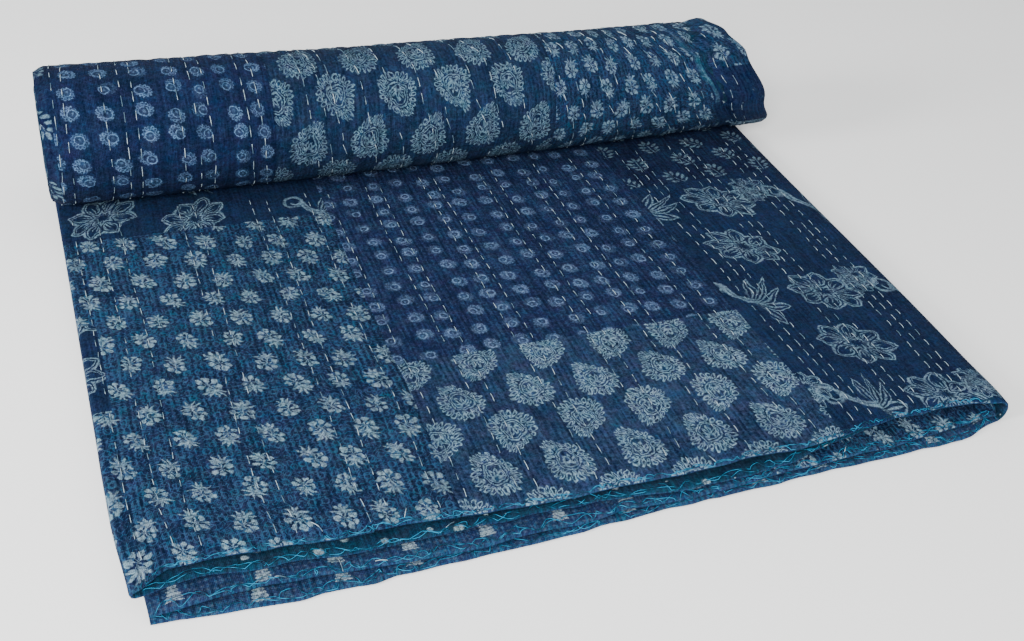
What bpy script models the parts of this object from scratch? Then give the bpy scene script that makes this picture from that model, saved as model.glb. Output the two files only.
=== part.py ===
"""A kantha quilt, folded in four along its length and then rolled up from its far end.

The quilt is one thin cloth of 2.74 by 2.29 m. Three lengthwise folds bring it down to a strip
that is a quarter of its width: an outer fold on the right joins the bottom and top layers, a
fold on the left joins the top and second layers, and an inner fold on the right joins the
second and third. The third and bottom layers end on the left in free side hems. The strip lies
flat at the front, with its four front hems a little apart, and its far end is wound towards the
front into a roll that lies on the strip's own top face.

The solid is one closed body. Closed rings of points run along the strip: a back-and-forth
section of four layers where it lies flat, and the outline of all four layers where it is wound.
X runs across the strip, Y from its front hems to the roll, and Z is up. The sizes are in
millimetres and are turned into metres where the mesh is made.
"""

import math

import bmesh
import bpy

MM = 0.001

# --- Driving dimensions ----------------------------------------------------------------------

STRIP_RIGHT = 340.0  # where the outer right fold starts to turn
STRIP_LEFT = -338.0  # where the left fold starts to turn
FREE_LEFT = -332.0  # side hems of the third and bottom layers
INNER_FOLD = 337.0  # where the inner right fold starts to turn

SHEET_FRONT = 3.0  # quilted cloth, loose at the front
SHEET_PRESSED = 2.6  # the same cloth under the roll's weight
LEVELS_FRONT = (1.5, 6.5, 12.0, 18.5)  # mid-heights of bottom, third, second and top layer
LEVELS_PRESSED = (1.3, 4.5, 7.7, 10.9)
HEM_DROOP = (0.0, 0.5, 1.0, 1.5)  # how far each layer's front hem sinks

CONTACT = 475.0  # distance from the front to the roll's line of contact
LAYERS_PART = 464.0  # the layers lie apart up to here
ROLL_INNER = 56.5  # radius inside the outermost turn, at its lowest point
TURN_PITCH = 5.9  # from one turn to the next
TURN_THICKNESS = 5.4  # four layers wound tight
TURNS = 8.25
STATIONS_PER_TURN = 16

ROLL_SLANT = 0.0192  # the roll's right end lies further back
ROLL_BOW = 5.2  # both ends lie this much behind the roll's middle
ROLL_TAPER = 0.00013  # share of its size lost for each millimetre to the right

ROW_PITCH = 15.4  # rows of quilting stitches, seen as soft grooves
ROW_JITTER = 2.2
ROW_RELIEF = 0.9  # ridge between two rows, above the rows themselves

LIP_WIDTH = 36.0  # the roll's right rim, past its crease
LIP_STEP = 12.0
WOUND_LEFT = -347.0  # the roll's left end, where all four layers are level
WOUND_SIDE = 40.0  # width over which the wound layers are drawn out to that end

INDIGO = (0.018, 0.060, 0.158, 1.0)

# Front hems, drawn as seen from above: across, forward.
TOP_HEM = ((-341, -10), (-312, 6), (-190, 0), (-20, -7), (140, -5), (262, 6), (305, 7), (342, -1))
SECOND_HEM = ((-341, -10), (-300, -3), (-200, -10), (-60, -9), (60, -15), (150, -13), (337, -4))
THIRD_HEM = ((-332, -23), (-280, -17), (-200, -19), (-150, -24), (60, -19), (200, -13), (337, -4))
BOTTOM_HEM = ((-332, -25), (-220, -31), (-100, -27), (50, -22), (160, -17), (300, -11), (346, 5))

# The wound strip's right edge and the rise of its rim: turns, edge shift, rise.
RIGHT_EDGE = (
    (0.00, 0.0, 0.0),
    (0.20, -34.0, 0.0),
    (0.40, -48.0, 1.0),
    (0.48, -50.0, 5.0),
    (0.55, -39.0, 6.5),
    (0.62, -24.0, 6.5),
    (0.75, -2.0, 6.0),
    (0.86, 17.0, 2.5),
    (0.94, 22.0, 0.0),
    (1.00, 12.0, 0.0),
    (1.20, -24.0, 0.0),
    (1.60, -34.0, 0.0),
    (3.00, -30.0, 0.0),
    (5.00, -36.0, 0.0),
    (8.25, -32.0, 0.0),
)
RIGHT_FLARE = 10.0  # the strip's right side runs outwards this much by the line of contact

# Distances of the rings from the front hem, along the part that lies flat.
FLAT_STATIONS = (0.0, 10.0, 34.0, 90.0, 170.0, 250.0, 330.0, 400.0, 440.0, LAYERS_PART)
HEM_REACH = 90.0  # the hems' waves die out over this length

SAME_REACH = 0.004  # two chains' vertices this close, as a share of the chain, are joined

# Points across each face where no quilting is raised.
ACROSS_OUTER = (-300.0, -190.0, -95.0, 0.0, 95.0, 190.0, 300.0)
ACROSS_INNER = (-280.0, -190.0, -95.0, 0.0, 95.0, 190.0)
ACROSS_WOUND = (-190.0, 0.0, 190.0, 300.0)


# --- Small helpers ---------------------------------------------------------------------------


def mix(low, high, share):
    return low + (high - low) * share


def ease(share):
    """Rises smoothly from 0 to 1."""
    share = min(max(share, 0.0), 1.0)
    return share * share * (3.0 - 2.0 * share)


def read_row(table, position, column=1):
    """Reads a column of a table at a position between its rows, without corners."""
    if position <= table[0][0]:
        return table[0][column]
    for before, after in zip(table, table[1:]):
        if position <= after[0]:
            share = ease((position - before[0]) / (after[0] - before[0]))
            return mix(before[column], after[column], share)
    return table[-1][column]


def quilting_rows():
    """Places of the stitch rows across the strip, set by eye and so a little uneven."""
    count = int((STRIP_RIGHT - STRIP_LEFT) / ROW_PITCH)
    first = 0.5 * (STRIP_RIGHT + STRIP_LEFT - (count - 1) * ROW_PITCH)
    return [first + i * ROW_PITCH + ROW_JITTER * math.sin(2.3 * i) * math.cos(0.7 * i)
            for i in range(count)]


ROWS = quilting_rows()
RIDGES = [0.5 * (left + right) for left, right in zip(ROWS, ROWS[1:])]


def relief(across):
    """Height of the quilting at a place across the strip: 0 on a row, full on a ridge."""
    points = sorted([(row, 0.0) for row in ROWS] + [(ridge, ROW_RELIEF) for ridge in RIDGES])
    for before, after in zip(points, points[1:]):
        if before[0] <= across <= after[0]:
            return mix(before[1], after[1], (across - before[0]) / (after[0] - before[0]))
    return 0.0


# --- The folded section ----------------------------------------------------------------------
# A sample is a point on the section's centre line: its place across, its level, the direction
# in which the patchwork side lies, and the forward reach of the front hem there.


def straight(places, level, side, hem):
    """A layer, with its patchwork side up (1) or down (-1)."""
    return [(x, level, 0.0, side, read_row(hem, x)) for x in places]


def bend(turn_x, start, stop, side, steps, hems):
    """A fold between two levels, bulging to the right (1) or left (-1) of where it turns."""
    radius = 0.5 * abs(stop - start)
    middle = 0.5 * (start + stop)
    rising = 1.0 if stop > start else -1.0
    samples = []
    for step in range(1, steps):
        angle = math.pi * (step / steps - 0.5) * rising
        out_x, out_z = side * math.cos(angle), math.sin(angle)
        hem = mix(read_row(hems[0], turn_x), read_row(hems[1], turn_x), step / steps)
        outside = 1.0 if (side, rising) in ((1.0, 1.0), (-1.0, -1.0)) else -1.0
        samples.append((turn_x + radius * out_x, middle + radius * out_z,
                        outside * out_x, outside * out_z, hem))
    return samples


OUTER_BEND_STEPS = 6
OTHER_BEND_STEPS = 4
BOTTOM_PLACES = (FREE_LEFT,) + ACROSS_OUTER + (STRIP_RIGHT,)
TOP_PLACES = (STRIP_RIGHT,) + ACROSS_OUTER[::-1] + (STRIP_LEFT,)
SECOND_PLACES = (STRIP_LEFT,) + ACROSS_INNER + (INNER_FOLD,)
THIRD_PLACES = (INNER_FOLD,) + ACROSS_INNER[::-1] + (FREE_LEFT,)

# Sample numbers at which each stretch of the centre line starts, and in the middle of a bend.
TOP_START = len(BOTTOM_PLACES) + OUTER_BEND_STEPS - 1
SECOND_START = TOP_START + len(TOP_PLACES) + OTHER_BEND_STEPS - 1
THIRD_START = SECOND_START + len(SECOND_PLACES) + OTHER_BEND_STEPS - 1
LAST = THIRD_START + len(THIRD_PLACES) - 1
RIGHT_MIDDLE = TOP_START - OUTER_BEND_STEPS // 2
LEFT_MIDDLE = SECOND_START - OTHER_BEND_STEPS // 2


def centre_line(levels):
    """The whole back-and-forth section, from the bottom layer's side hem to the third's."""
    bottom, third, second, top = levels
    return (
        straight(BOTTOM_PLACES, bottom, -1.0, BOTTOM_HEM)
        + bend(STRIP_RIGHT, bottom, top, 1.0, OUTER_BEND_STEPS, (BOTTOM_HEM, TOP_HEM))
        + straight(TOP_PLACES, top, 1.0, TOP_HEM)
        + bend(STRIP_LEFT, top, second, -1.0, OTHER_BEND_STEPS, (TOP_HEM, SECOND_HEM))
        + straight(SECOND_PLACES, second, -1.0, SECOND_HEM)
        + bend(INNER_FOLD, second, third, 1.0, OTHER_BEND_STEPS, (SECOND_HEM, THIRD_HEM))
        + straight(THIRD_PLACES, third, 1.0, THIRD_HEM)
    )


def quilted_points(places, start, level, side, hem):
    """Points on the rows and ridges of one outer face, keyed between its samples."""
    points = {}
    for number, (before, after) in enumerate(zip(places, places[1:])):
        for x in ROWS + RIDGES:
            share = (x - before) / (after - before)
            if 0.03 < share < 0.97:
                forward = mix(read_row(hem, before), read_row(hem, after), share)
                points["patch", start + number + share] = (x, level, 0.0, side, forward)
    return points


def ordered(ring):
    """The ring's keys in order: out along the patchwork side and home along the backing."""
    patch = sorted(key for key in ring if key[0] == "patch")
    back = sorted((key for key in ring if key[0] == "back"), reverse=True)
    return patch + back


# --- Where a point of the section lies in space ----------------------------------------------


def settle(body):
    """The strip's flare, and the roll's slight slant, bow and taper."""
    for vertex in body.verts:
        x, y, z = vertex.co
        x += RIGHT_FLARE * ease((x - 120.0) / 190.0) * min(max(y / CONTACT, 0.0), 1.0)
        hold = ease((y - 230.0) / 200.0)
        size = 1.0 - ROLL_TAPER * x * hold
        behind = hold * (ROLL_SLANT * x + ROLL_BOW * (x / STRIP_RIGHT) ** 2)
        vertex.co = (x, CONTACT + (y - CONTACT) * size + behind, z * size)


def flat_ring(distance):
    """Points of the section where the strip lies flat."""
    press = ease(distance / CONTACT)
    sheet = mix(SHEET_FRONT, SHEET_PRESSED, press)
    droop = max(0.0, 1.0 - distance / FLAT_STATIONS[2]) ** 2
    levels = [mix(front, pressed, press) - droop * sink
              for front, pressed, sink in zip(LEVELS_FRONT, LEVELS_PRESSED, HEM_DROOP)]
    raised = ease(distance / FLAT_STATIONS[1]) * (1.0 - ease((distance - 400.0) / 40.0))
    samples = centre_line(levels)
    ring = {("patch", number): sample for number, sample in enumerate(samples)}
    ring.update(quilted_points(TOP_PLACES, TOP_START, levels[3], 1.0, TOP_HEM))
    ring.update({("back", number): sample for number, sample in enumerate(samples)})
    hold = max(0.0, 1.0 - distance / HEM_REACH)
    points = {}
    for key, (x, level, out_x, out_z, hem) in ring.items():
        side = 1.0 if key[0] == "patch" else -1.0
        height = level + side * out_z * 0.5 * sheet
        if key[0] == "patch" and TOP_START <= key[1] < TOP_START + len(TOP_PLACES):
            height += raised * relief(x)
        points[key] = (x + side * out_x * 0.5 * sheet, distance + hold * hem, height)
    return points


def wound_keys():
    """Keys of the outline of all four layers: the folds' outsides and the side hems."""
    folded = [("patch", number) for number in range(SECOND_START + 1)]
    return folded + [("patch", LAST), ("back", LAST), ("back", 0)]


def turn_sizes(turns):
    """Outer radius and thickness of the wound strip, after a number of turns."""
    start = LEVELS_PRESSED[3] + 0.5 * SHEET_PRESSED
    thickness = mix(start, TURN_THICKNESS, ease(turns / 0.35))
    return ROLL_INNER - TURN_PITCH * turns + thickness, thickness, start


def wound_ring(turns, quilted):
    """Points of the outline where the strip is wound; turns count from its lowest point."""
    outer, thickness, start = turn_sizes(turns)
    squeeze = thickness / start
    samples = centre_line(LEVELS_PRESSED)
    ring = {key: samples[key[1]] for key in wound_keys()}
    if quilted:
        ring.update(quilted_points(BOTTOM_PLACES, 0, LEVELS_PRESSED[0], -1.0, BOTTOM_HEM))
    raised = ease((turns - 1.0 / STATIONS_PER_TURN) / 0.1) * (1.0 - ease((turns - 0.84) / 0.09))
    edge = read_row(RIGHT_EDGE, turns)
    rise = read_row(RIGHT_EDGE, turns, 2)
    centre = ROLL_INNER + start
    angle = 2.0 * math.pi * turns
    points = {}
    for key, (x, level, out_x, out_z, _hem) in ring.items():
        side = 1.0 if key[0] == "patch" else -1.0
        depth = (level + side * out_z * 0.5 * SHEET_PRESSED) * squeeze
        place = x + side * out_x * 0.5 * SHEET_PRESSED
        crease = STRIP_RIGHT - LIP_WIDTH
        radius = outer - depth + rise * ease((place - crease) / LIP_STEP)
        if quilted and key[0] == "patch" and key[1] < len(BOTTOM_PLACES):
            radius += raised * relief(x)
        place += edge * ease((place - 120.0) / 190.0)
        end_share = ease((STRIP_LEFT + WOUND_SIDE - place) / WOUND_SIDE)
        if key[0] == "back" or key[1] == 0 or key[1] >= LEFT_MIDDLE:
            end_share = 1.0
        place = mix(place, WOUND_LEFT, end_share * ease(turns / 0.3))
        points[key] = (place, CONTACT + radius * math.sin(angle),
                       centre - radius * math.cos(angle))
    return points


# --- Faces -----------------------------------------------------------------------------------


def stretch(ring, first, second):
    """The ring's vertices from one key to another, both included."""
    keys = ordered(ring)
    start = keys.index(first)
    turned = keys[start:] + keys[:start]
    return [ring[key] for key in turned[:turned.index(second) + 1]]


def reach(chain):
    """How far along the chain each of its vertices lies, from 0 to 1."""
    lengths = [0.0]
    for before, after in zip(chain, chain[1:]):
        lengths.append(lengths[-1] + (after.co - before.co).length)
    return [length / lengths[-1] for length in lengths]


def fill_between(body, one, other):
    """Faces between two chains of vertices that run the same way."""
    one_reach, other_reach = reach(one), reach(other)
    i = j = 0
    while i < len(one) - 1 or j < len(other) - 1:
        one_next = one_reach[i + 1] if i < len(one) - 1 else 2.0
        other_next = other_reach[j + 1] if j < len(other) - 1 else 2.0
        level = abs(one_next - other_next) < SAME_REACH
        if level and one[i + 1] is not other[j + 1]:
            body.faces.new((one[i], one[i + 1], other[j + 1], other[j]))
            i, j = i + 1, j + 1
        elif level:
            body.faces.new((one[i], one[i + 1], other[j]))
            i, j = i + 1, j + 1
        elif one_next < other_next:
            body.faces.new((one[i], one[i + 1], other[j]))
            i += 1
        else:
            body.faces.new((one[i], other[j + 1], other[j]))
            j += 1


def bridge(body, near, far):
    """Joins two rings, of which one may have more points than the other."""
    common = [key for key in ordered(near) if key in far]
    for first, second in zip(common, common[1:] + common[:1]):
        fill_between(body, stretch(near, first, second), stretch(far, first, second))


def close_front(body, ring):
    """The front hem of every layer, as one ribbon of faces along the centre line."""
    for number in range(LAST):
        edge = stretch(ring, ("patch", number), ("patch", number + 1))
        fill_between(body, edge, [ring["back", number], ring["back", number + 1]])


def close_gaps(body, ring):
    """Ends the two gaps between the layers, and leaves the ring with its outline only."""
    inner_fold = THIRD_START - OTHER_BEND_STEPS // 2
    second_under = stretch(ring, ("patch", SECOND_START), ("patch", inner_fold))
    third_top = stretch(ring, ("patch", inner_fold), ("patch", LAST))
    fill_between(body, second_under, third_top[::-1])
    inner_way = stretch(ring, ("back", LAST), ("back", LEFT_MIDDLE))
    outer_way = stretch(ring, ("back", LEFT_MIDDLE), ("back", 0))
    fill_between(body, inner_way, outer_way[::-1])
    inside = [key for key in ring
              if (key[0] == "patch" and SECOND_START < key[1] < LAST)
              or (key[0] == "back" and 0 < key[1] < LAST)]
    for key in inside:
        del ring[key]


def slim(ring):
    """A hidden turn needs only a few points on its faces and one more at each end."""
    kept = [RIGHT_MIDDLE, LEFT_MIDDLE]
    for places, start in ((BOTTOM_PLACES, 0), (TOP_PLACES, TOP_START)):
        kept += [start + number for number, place in enumerate(places)
                 if place in ACROSS_WOUND or place in (places[0], places[-1])]
    return {key: ring[key] for key in ring if key[0] == "patch" and key[1] in kept}


def quilt_mesh():
    body = bmesh.new()

    def as_vertices(points):
        return {key: body.verts.new(points[key]) for key in ordered(points)}

    rings = [as_vertices(flat_ring(distance)) for distance in FLAT_STATIONS]
    close_front(body, rings[0])
    for near, far in zip(rings, rings[1:]):
        bridge(body, near, far)
    last = rings[-1]
    close_gaps(body, last)
    for step in range(int(TURNS * STATIONS_PER_TURN) + 1):
        turns = step / STATIONS_PER_TURN
        points = wound_ring(turns, quilted=0.0 < turns < 1.0)
        ring = as_vertices(points if turns < 1.0 else slim(points))
        bridge(body, last, ring)
        last = ring
    end = body.faces.new([last[key] for key in ordered(last)])
    bmesh.ops.triangulate(body, faces=[end])
    bmesh.ops.recalc_face_normals(body, faces=body.faces)
    settle(body)
    return body


def centre_on_floor(body):
    """Moves the body so that the origin is under the middle of its box."""
    places = [vertex.co for vertex in body.verts]
    middle_x = 0.5 * (min(p.x for p in places) + max(p.x for p in places))
    middle_y = 0.5 * (min(p.y for p in places) + max(p.y for p in places))
    bmesh.ops.translate(body, verts=body.verts, vec=(-middle_x, -middle_y, 0.0))
    bmesh.ops.scale(body, verts=body.verts, vec=(MM, MM, MM))


def cotton():
    material = bpy.data.materials.new("indigo_cotton")
    material.use_nodes = True
    shader = material.node_tree.nodes["Principled BSDF"]
    shader.inputs["Base Color"].default_value = INDIGO
    shader.inputs["Roughness"].default_value = 0.9
    shader.inputs["Metallic"].default_value = 0.0
    return material


def main():
    for item in list(bpy.data.objects):
        bpy.data.objects.remove(item, do_unlink=True)
    body = quilt_mesh()
    centre_on_floor(body)
    mesh = bpy.data.meshes.new("quilt")
    body.to_mesh(mesh)
    body.free()
    mesh.materials.append(cotton())
    mesh.shade_smooth()
    mesh.set_sharp_from_angle(angle=math.radians(35.0))
    quilt = bpy.data.objects.new("quilt", mesh)
    bpy.context.scene.collection.objects.link(quilt)


main()
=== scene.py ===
# %% [markdown]
# # A kantha quilt, folded in four and rolled up
#
# The object is one thin quilted cloth, 2.74 by 2.29 m, pieced from block-printed indigo cottons
# and held together by rows of running stitches. It is folded three times along its length and
# then wound up from its far end. The lesson builds it as it is made: one flat sheet is cut
# finely where the eye will look, folded and wound by a rule, and then stitched with real
# threads. The prints are drawn by shader nodes in millimetres of cloth.
#
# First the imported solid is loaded. Its box is kept, because the finished model has to stay
# close to it, and it also gives the shift from the maker's own coordinates to the shared frame.

import math
from collections import namedtuple
from functools import reduce

import bmesh
import bpy
import numpy as np
from mathutils import Matrix, Vector


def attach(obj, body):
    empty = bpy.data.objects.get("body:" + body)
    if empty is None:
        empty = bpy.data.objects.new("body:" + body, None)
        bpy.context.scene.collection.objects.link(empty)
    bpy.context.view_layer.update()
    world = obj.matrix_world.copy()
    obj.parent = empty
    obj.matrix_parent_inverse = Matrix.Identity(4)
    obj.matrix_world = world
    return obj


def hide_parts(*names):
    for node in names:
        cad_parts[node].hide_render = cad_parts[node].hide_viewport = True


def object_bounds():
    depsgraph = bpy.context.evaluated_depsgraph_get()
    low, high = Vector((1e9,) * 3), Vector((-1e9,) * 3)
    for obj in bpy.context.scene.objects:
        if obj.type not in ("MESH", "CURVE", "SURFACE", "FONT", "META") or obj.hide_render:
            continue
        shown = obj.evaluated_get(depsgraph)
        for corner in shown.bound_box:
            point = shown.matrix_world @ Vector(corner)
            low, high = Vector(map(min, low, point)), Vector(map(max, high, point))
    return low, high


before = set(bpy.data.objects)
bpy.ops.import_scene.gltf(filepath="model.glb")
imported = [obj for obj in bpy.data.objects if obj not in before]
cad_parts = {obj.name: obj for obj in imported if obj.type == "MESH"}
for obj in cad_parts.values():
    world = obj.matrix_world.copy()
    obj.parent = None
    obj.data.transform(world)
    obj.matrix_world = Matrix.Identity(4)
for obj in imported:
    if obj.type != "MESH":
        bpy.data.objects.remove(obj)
CAD_BOX = [list(corner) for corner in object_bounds()]
MM = 0.001
WOUND_LEFT = -347.0  # the roll's left end, in the maker's millimetres
LOWEST_HEM = -30.4  # the most forward point of the front hems
SHIFT_X = CAD_BOX[0][0] / MM - WOUND_LEFT
SHIFT_Y = CAD_BOX[0][1] / MM - LOWEST_HEM


def in_scene(name, data):
    """Makes an object of the data, at the origin, and links it to the scene."""
    item = bpy.data.objects.new(name, data)
    bpy.context.scene.collection.objects.link(item)
    return item


print("box of the solid, mm:", [[round(v / MM, 1) for v in corner] for corner in CAD_BOX])

# %% [markdown]
# ## The camera
#
# The photograph was taken from in front and a little to the left, from above, with the camera
# turned slightly clockwise. Its place was found by matching the roll's ends and the quilt's
# four corners, so it is written down as numbers rather than aimed by a constraint. The lens
# follows from the picture's 1024 points of width.

# %% Camera
PICTURE_WIDTH = 1024
FOCAL_POINTS = 1296.76
camera_data = bpy.data.cameras.new("camera")
camera_data.sensor_width = 36.0
camera_data.lens = FOCAL_POINTS / PICTURE_WIDTH * camera_data.sensor_width
camera_data.clip_start = 0.01
camera = in_scene("camera", camera_data)
bpy.context.scene.camera = camera

YAW, PITCH, ROLL = 0.42715, -0.64695, 0.11324
CAMERA_ACROSS, CAMERA_ALONG, CAMERA_UP = -361.58, -581.22, 662.73  # the maker's millimetres
forward = Vector((math.sin(YAW) * math.cos(PITCH), math.cos(YAW) * math.cos(PITCH), math.sin(PITCH)))
level_right = Vector((math.cos(YAW), -math.sin(YAW), 0.0))
level_up = level_right.cross(forward)
right = math.cos(ROLL) * level_right + math.sin(ROLL) * level_up
up = math.cos(ROLL) * level_up - math.sin(ROLL) * level_right
axes = Matrix((right, up, -forward)).transposed()
place = Vector((CAMERA_ACROSS + SHIFT_X, CAMERA_ALONG + SHIFT_Y, CAMERA_UP)) * MM
camera.matrix_world = Matrix.Translation(place) @ axes.to_4x4()
print("lens", round(camera_data.lens, 2), "mm, camera at", [round(v, 3) for v in place])

# %% [markdown]
# ## Small helpers
#
# Every curve on the quilt is read from a short table and eased between its rows, so that
# nothing has a corner. They work on whole arrays, because a cloth has many thousands of points.
# `wander` is smooth noise: random heights on a square lattice, blended between the lattice's
# corners. It is seeded, so the cloth comes out the same each time.

# %% Helpers for numbers
LATTICE = 64  # cells after which the smooth noise repeats


def ease(share):
    """Rises smoothly from 0 to 1."""
    share = np.clip(share, 0.0, 1.0)
    return share * share * (3.0 - 2.0 * share)


def mix(low, high, share):
    """The value a share of the way from low to high."""
    return low + (high - low) * share


def read_row(table, position, column=1):
    """Reads a column of a table at positions between its rows, without corners."""
    keys = np.array([row[0] for row in table], float)
    values = np.array([row[column] for row in table], float)
    position = np.clip(position, keys[0], keys[-1])
    before = np.clip(np.searchsorted(keys, position, side="right") - 1, 0, len(keys) - 2)
    share = ease((position - keys[before]) / (keys[before + 1] - keys[before]))
    return mix(values[before], values[before + 1], share)


def wander(along_x, along_y, cell_x, cell_y, seed):
    """Smooth noise from -1 to 1, with humps about a cell in size."""
    heights = np.random.default_rng(seed).uniform(-1.0, 1.0, (LATTICE, LATTICE))
    x, y = np.asarray(along_x) / cell_x, np.asarray(along_y) / cell_y
    i, j = np.floor(x).astype(int), np.floor(y).astype(int)
    near, far = (mix(heights[i % LATTICE, row % LATTICE], heights[(i + 1) % LATTICE, row % LATTICE],
                     ease(x - i)) for row in (j, j + 1))
    return mix(near, far, ease(y - j))


print("ease half way:", ease(0.5), " wander:", round(float(wander(10.0, 20.0, 30.0, 30.0, 1)), 3))

# %% [markdown]
# ## The quilt's own measures
#
# These repeat the maker's values from the solid, in millimetres: where the folds turn, how high
# each of the four layers lies, how the front hems run, and how the roll is wound. The layers
# are listed from the floor up and named from the top down: top, second, third and bottom.

# %% Measures shared with the solid
STRIP_RIGHT, STRIP_LEFT, FREE_LEFT, INNER_FOLD = 340.0, -338.0, -332.0, 337.0
SHEET_FRONT, SHEET_PRESSED = 3.0, 2.6
LEVELS_FRONT = dict(bottom=1.5, third=6.5, second=12.0, top=18.5)
LEVELS_PRESSED = dict(bottom=1.3, third=4.5, second=7.7, top=10.9)
HEM_DROOP = dict(bottom=0.0, third=0.5, second=1.0, top=1.5)
CONTACT = 475.0  # distance from the front to the roll's line of contact
ROLL_INNER, TURN_PITCH, TURN_THICKNESS, TURNS = 56.5, 5.9, 5.4, 8.25
ROLL_SLANT, ROLL_BOW, ROLL_TAPER = 0.0192, 5.2, 0.00013
ROW_RELIEF = 0.9
LIP_CREASE, LIP_CREASE_HIGH, LIP_STEP = 304.0, 329.0, 11.0
SETTLING_TURNS = 0.3  # the wound strip's left end has moved out to WOUND_LEFT by then

# Front hems as seen from above: across, forward.
HEMS = dict(
    top=((-341, -10), (-312, 6), (-190, 0), (-20, -7), (140, -5), (262, 6), (305, 7), (342, -1)),
    second=((-341, -10), (-300, -3), (-200, -10), (-60, -9), (60, -15), (130, -12), (185, 0),
            (240, 12), (337, 12)),
    third=((-332, -23), (-280, -17), (-200, -19), (-150, -24), (60, -19), (200, -13), (337, -4)),
    bottom=((-332, -25), (-220, -31), (-100, -27), (50, -22), (160, -19), (290, -17), (346, -4)),
)
HEM_REACH = 90.0  # the hems' waves have died away this far in

# The wound strip's right edge and the rise of its rim: turns, edge shift, rise.
RIGHT_EDGE = (
    (0.00, 0.0, 0.0),
    (0.20, -34.0, 0.0),
    (0.40, -48.0, 1.0),
    (0.48, -50.0, 5.0),
    (0.55, -39.0, 6.5),
    (0.62, -24.0, 6.5),
    (0.75, -2.0, 6.0),
    (0.86, 17.0, 2.5),
    (0.94, 22.0, 0.0),
    (1.00, 12.0, 0.0),
    (1.20, -24.0, 0.0),
    (1.60, -34.0, 0.0),
    (3.00, -30.0, 0.0),
    (5.00, -36.0, 0.0),
    (8.25, -32.0, 0.0),
)
RIGHT_FLARE = 10.0  # the strip's right side runs outwards this much by the line of contact
print("the roll winds", TURNS, "turns, a layer of four every", TURN_PITCH, "mm")

# %% [markdown]
# ## Rows of stitches
#
# A kantha quilt is sewn through all its layers in long rows of running stitches. On the top
# face and on the roll some rows are in off-white thread, often two or three side by side, and
# the rows between them are in blue thread that shows only as a soft groove. Each row's place
# across the cloth is listed: `w` white, `b` blue, `s` a seam between two patches, `e` the
# cloth's edge or fold. The cloth's columns of points are later laid exactly on these rows, so
# every groove is crisp.

# %% Rows on the top face and on the roll
Row = namedtuple("Row", "across kind")
TOP_ROWS = [Row(*row) for row in (
    (-338, "e"), (-330, "w"), (-309, "w"), (-292, "w"), (-276, "b"), (-259, "b"), (-243, "w"),
    (-230, "w"), (-213, "b"), (-196, "b"), (-179, "w"), (-164, "w"), (-146, "b"), (-128, "w"),
    (-115, "s"), (-108, "w"), (-90, "b"), (-71, "w"), (-57, "w"), (-43, "b"), (-29, "b"),
    (-14, "w"), (0, "w"), (15, "b"), (30, "b"), (46, "w"), (59, "w"), (76, "b"), (93, "w"),
    (108, "w"), (122, "b"), (136, "b"), (150, "w"), (166, "w"), (185, "s"), (200, "w"),
    (210, "w"), (219, "w"), (236, "b"), (254, "w"), (264, "w"), (273, "w"), (289, "b"),
    (305, "w"), (314, "w"), (323, "w"), (340, "e"),
)]
OUTER_ROWS = [Row(*row) for row in (
    (-332, "e"), (-321, "w"), (-314, "w"), (-300, "b"), (-287, "w"), (-275, "w"), (-267, "w"),
    (-251, "b"), (-236, "w"), (-223, "w"), (-212, "w"), (-196, "b"), (-180, "w"), (-169, "w"),
    (-157, "s"), (-141, "b"), (-126, "w"), (-112, "w"), (-102, "w"), (-88, "b"), (-73, "w"),
    (-61, "b"), (-49, "w"), (-34, "b"), (-20, "w"), (0, "w"), (16, "b"), (32, "w"), (54, "w"),
    (67, "b"), (81, "w"), (101, "b"), (122, "s"), (128, "w"), (146, "w"), (160, "b"),
    (173, "w"), (191, "w"), (207, "b"), (223, "w"), (243, "w"), (256, "b"), (268, "w"),
    (279, "w"), (290, "s"), (309, "w"), (318, "w"), (329, "b"), (340, "e"),
)]
print(len(TOP_ROWS) - 1, "gaps on the top face,", len(OUTER_ROWS) - 1, "on the roll")

# %% [markdown]
# ## From a flat sheet to a folded section
#
# The sheet is laid out on a plain grid whose columns are numbered across the cloth: first the
# bottom layer, then the outer fold on the right, the top layer, the left fold, the second
# layer, the inner fold, and the third layer. Where the grid is cut finer, a column number may
# be a fraction. `section` turns column numbers into places on the folded centre line, with the
# direction in which the patchwork side looks.

# %% The folded section
OUTER_COLUMNS, TOP_COLUMNS = len(OUTER_ROWS) - 1, len(TOP_ROWS) - 1
Stretch = namedtuple("Stretch", "name first last cloth_first cloth_last")
STRETCHES = []
for name, columns, cloth_width in (
    ("bottom", OUTER_COLUMNS, 672.0),
    ("outer fold", 6, 27.0),
    ("top", TOP_COLUMNS, 678.0),
    ("left fold", 4, 10.0),
    ("second", 14, 675.0),
    ("inner fold", 4, 9.0),
    ("third", 14, 669.0),
):
    start = STRETCHES[-1].last if STRETCHES else 0
    cloth_start = STRETCHES[-1].cloth_last if STRETCHES else 0.0
    STRETCHES.append(Stretch(name, start, start + columns, cloth_start, cloth_start + cloth_width))
SPAN = {stretch.name: stretch for stretch in STRETCHES}
CLOTH_WIDTH = STRETCHES[-1].cloth_last
CROWDING = 0.09

Fold = namedtuple("Fold", "start stop turn side outside")
FOLDS = {
    "outer fold": Fold("bottom", "top", STRIP_RIGHT, 1.0, 1.0),
    "left fold": Fold("top", "second", STRIP_LEFT, -1.0, 1.0),
    "inner fold": Fold("second", "third", INNER_FOLD, 1.0, -1.0),
}
LOOKS = dict(bottom=-1.0, top=1.0, second=-1.0, third=1.0)  # patchwork side down or up


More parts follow.
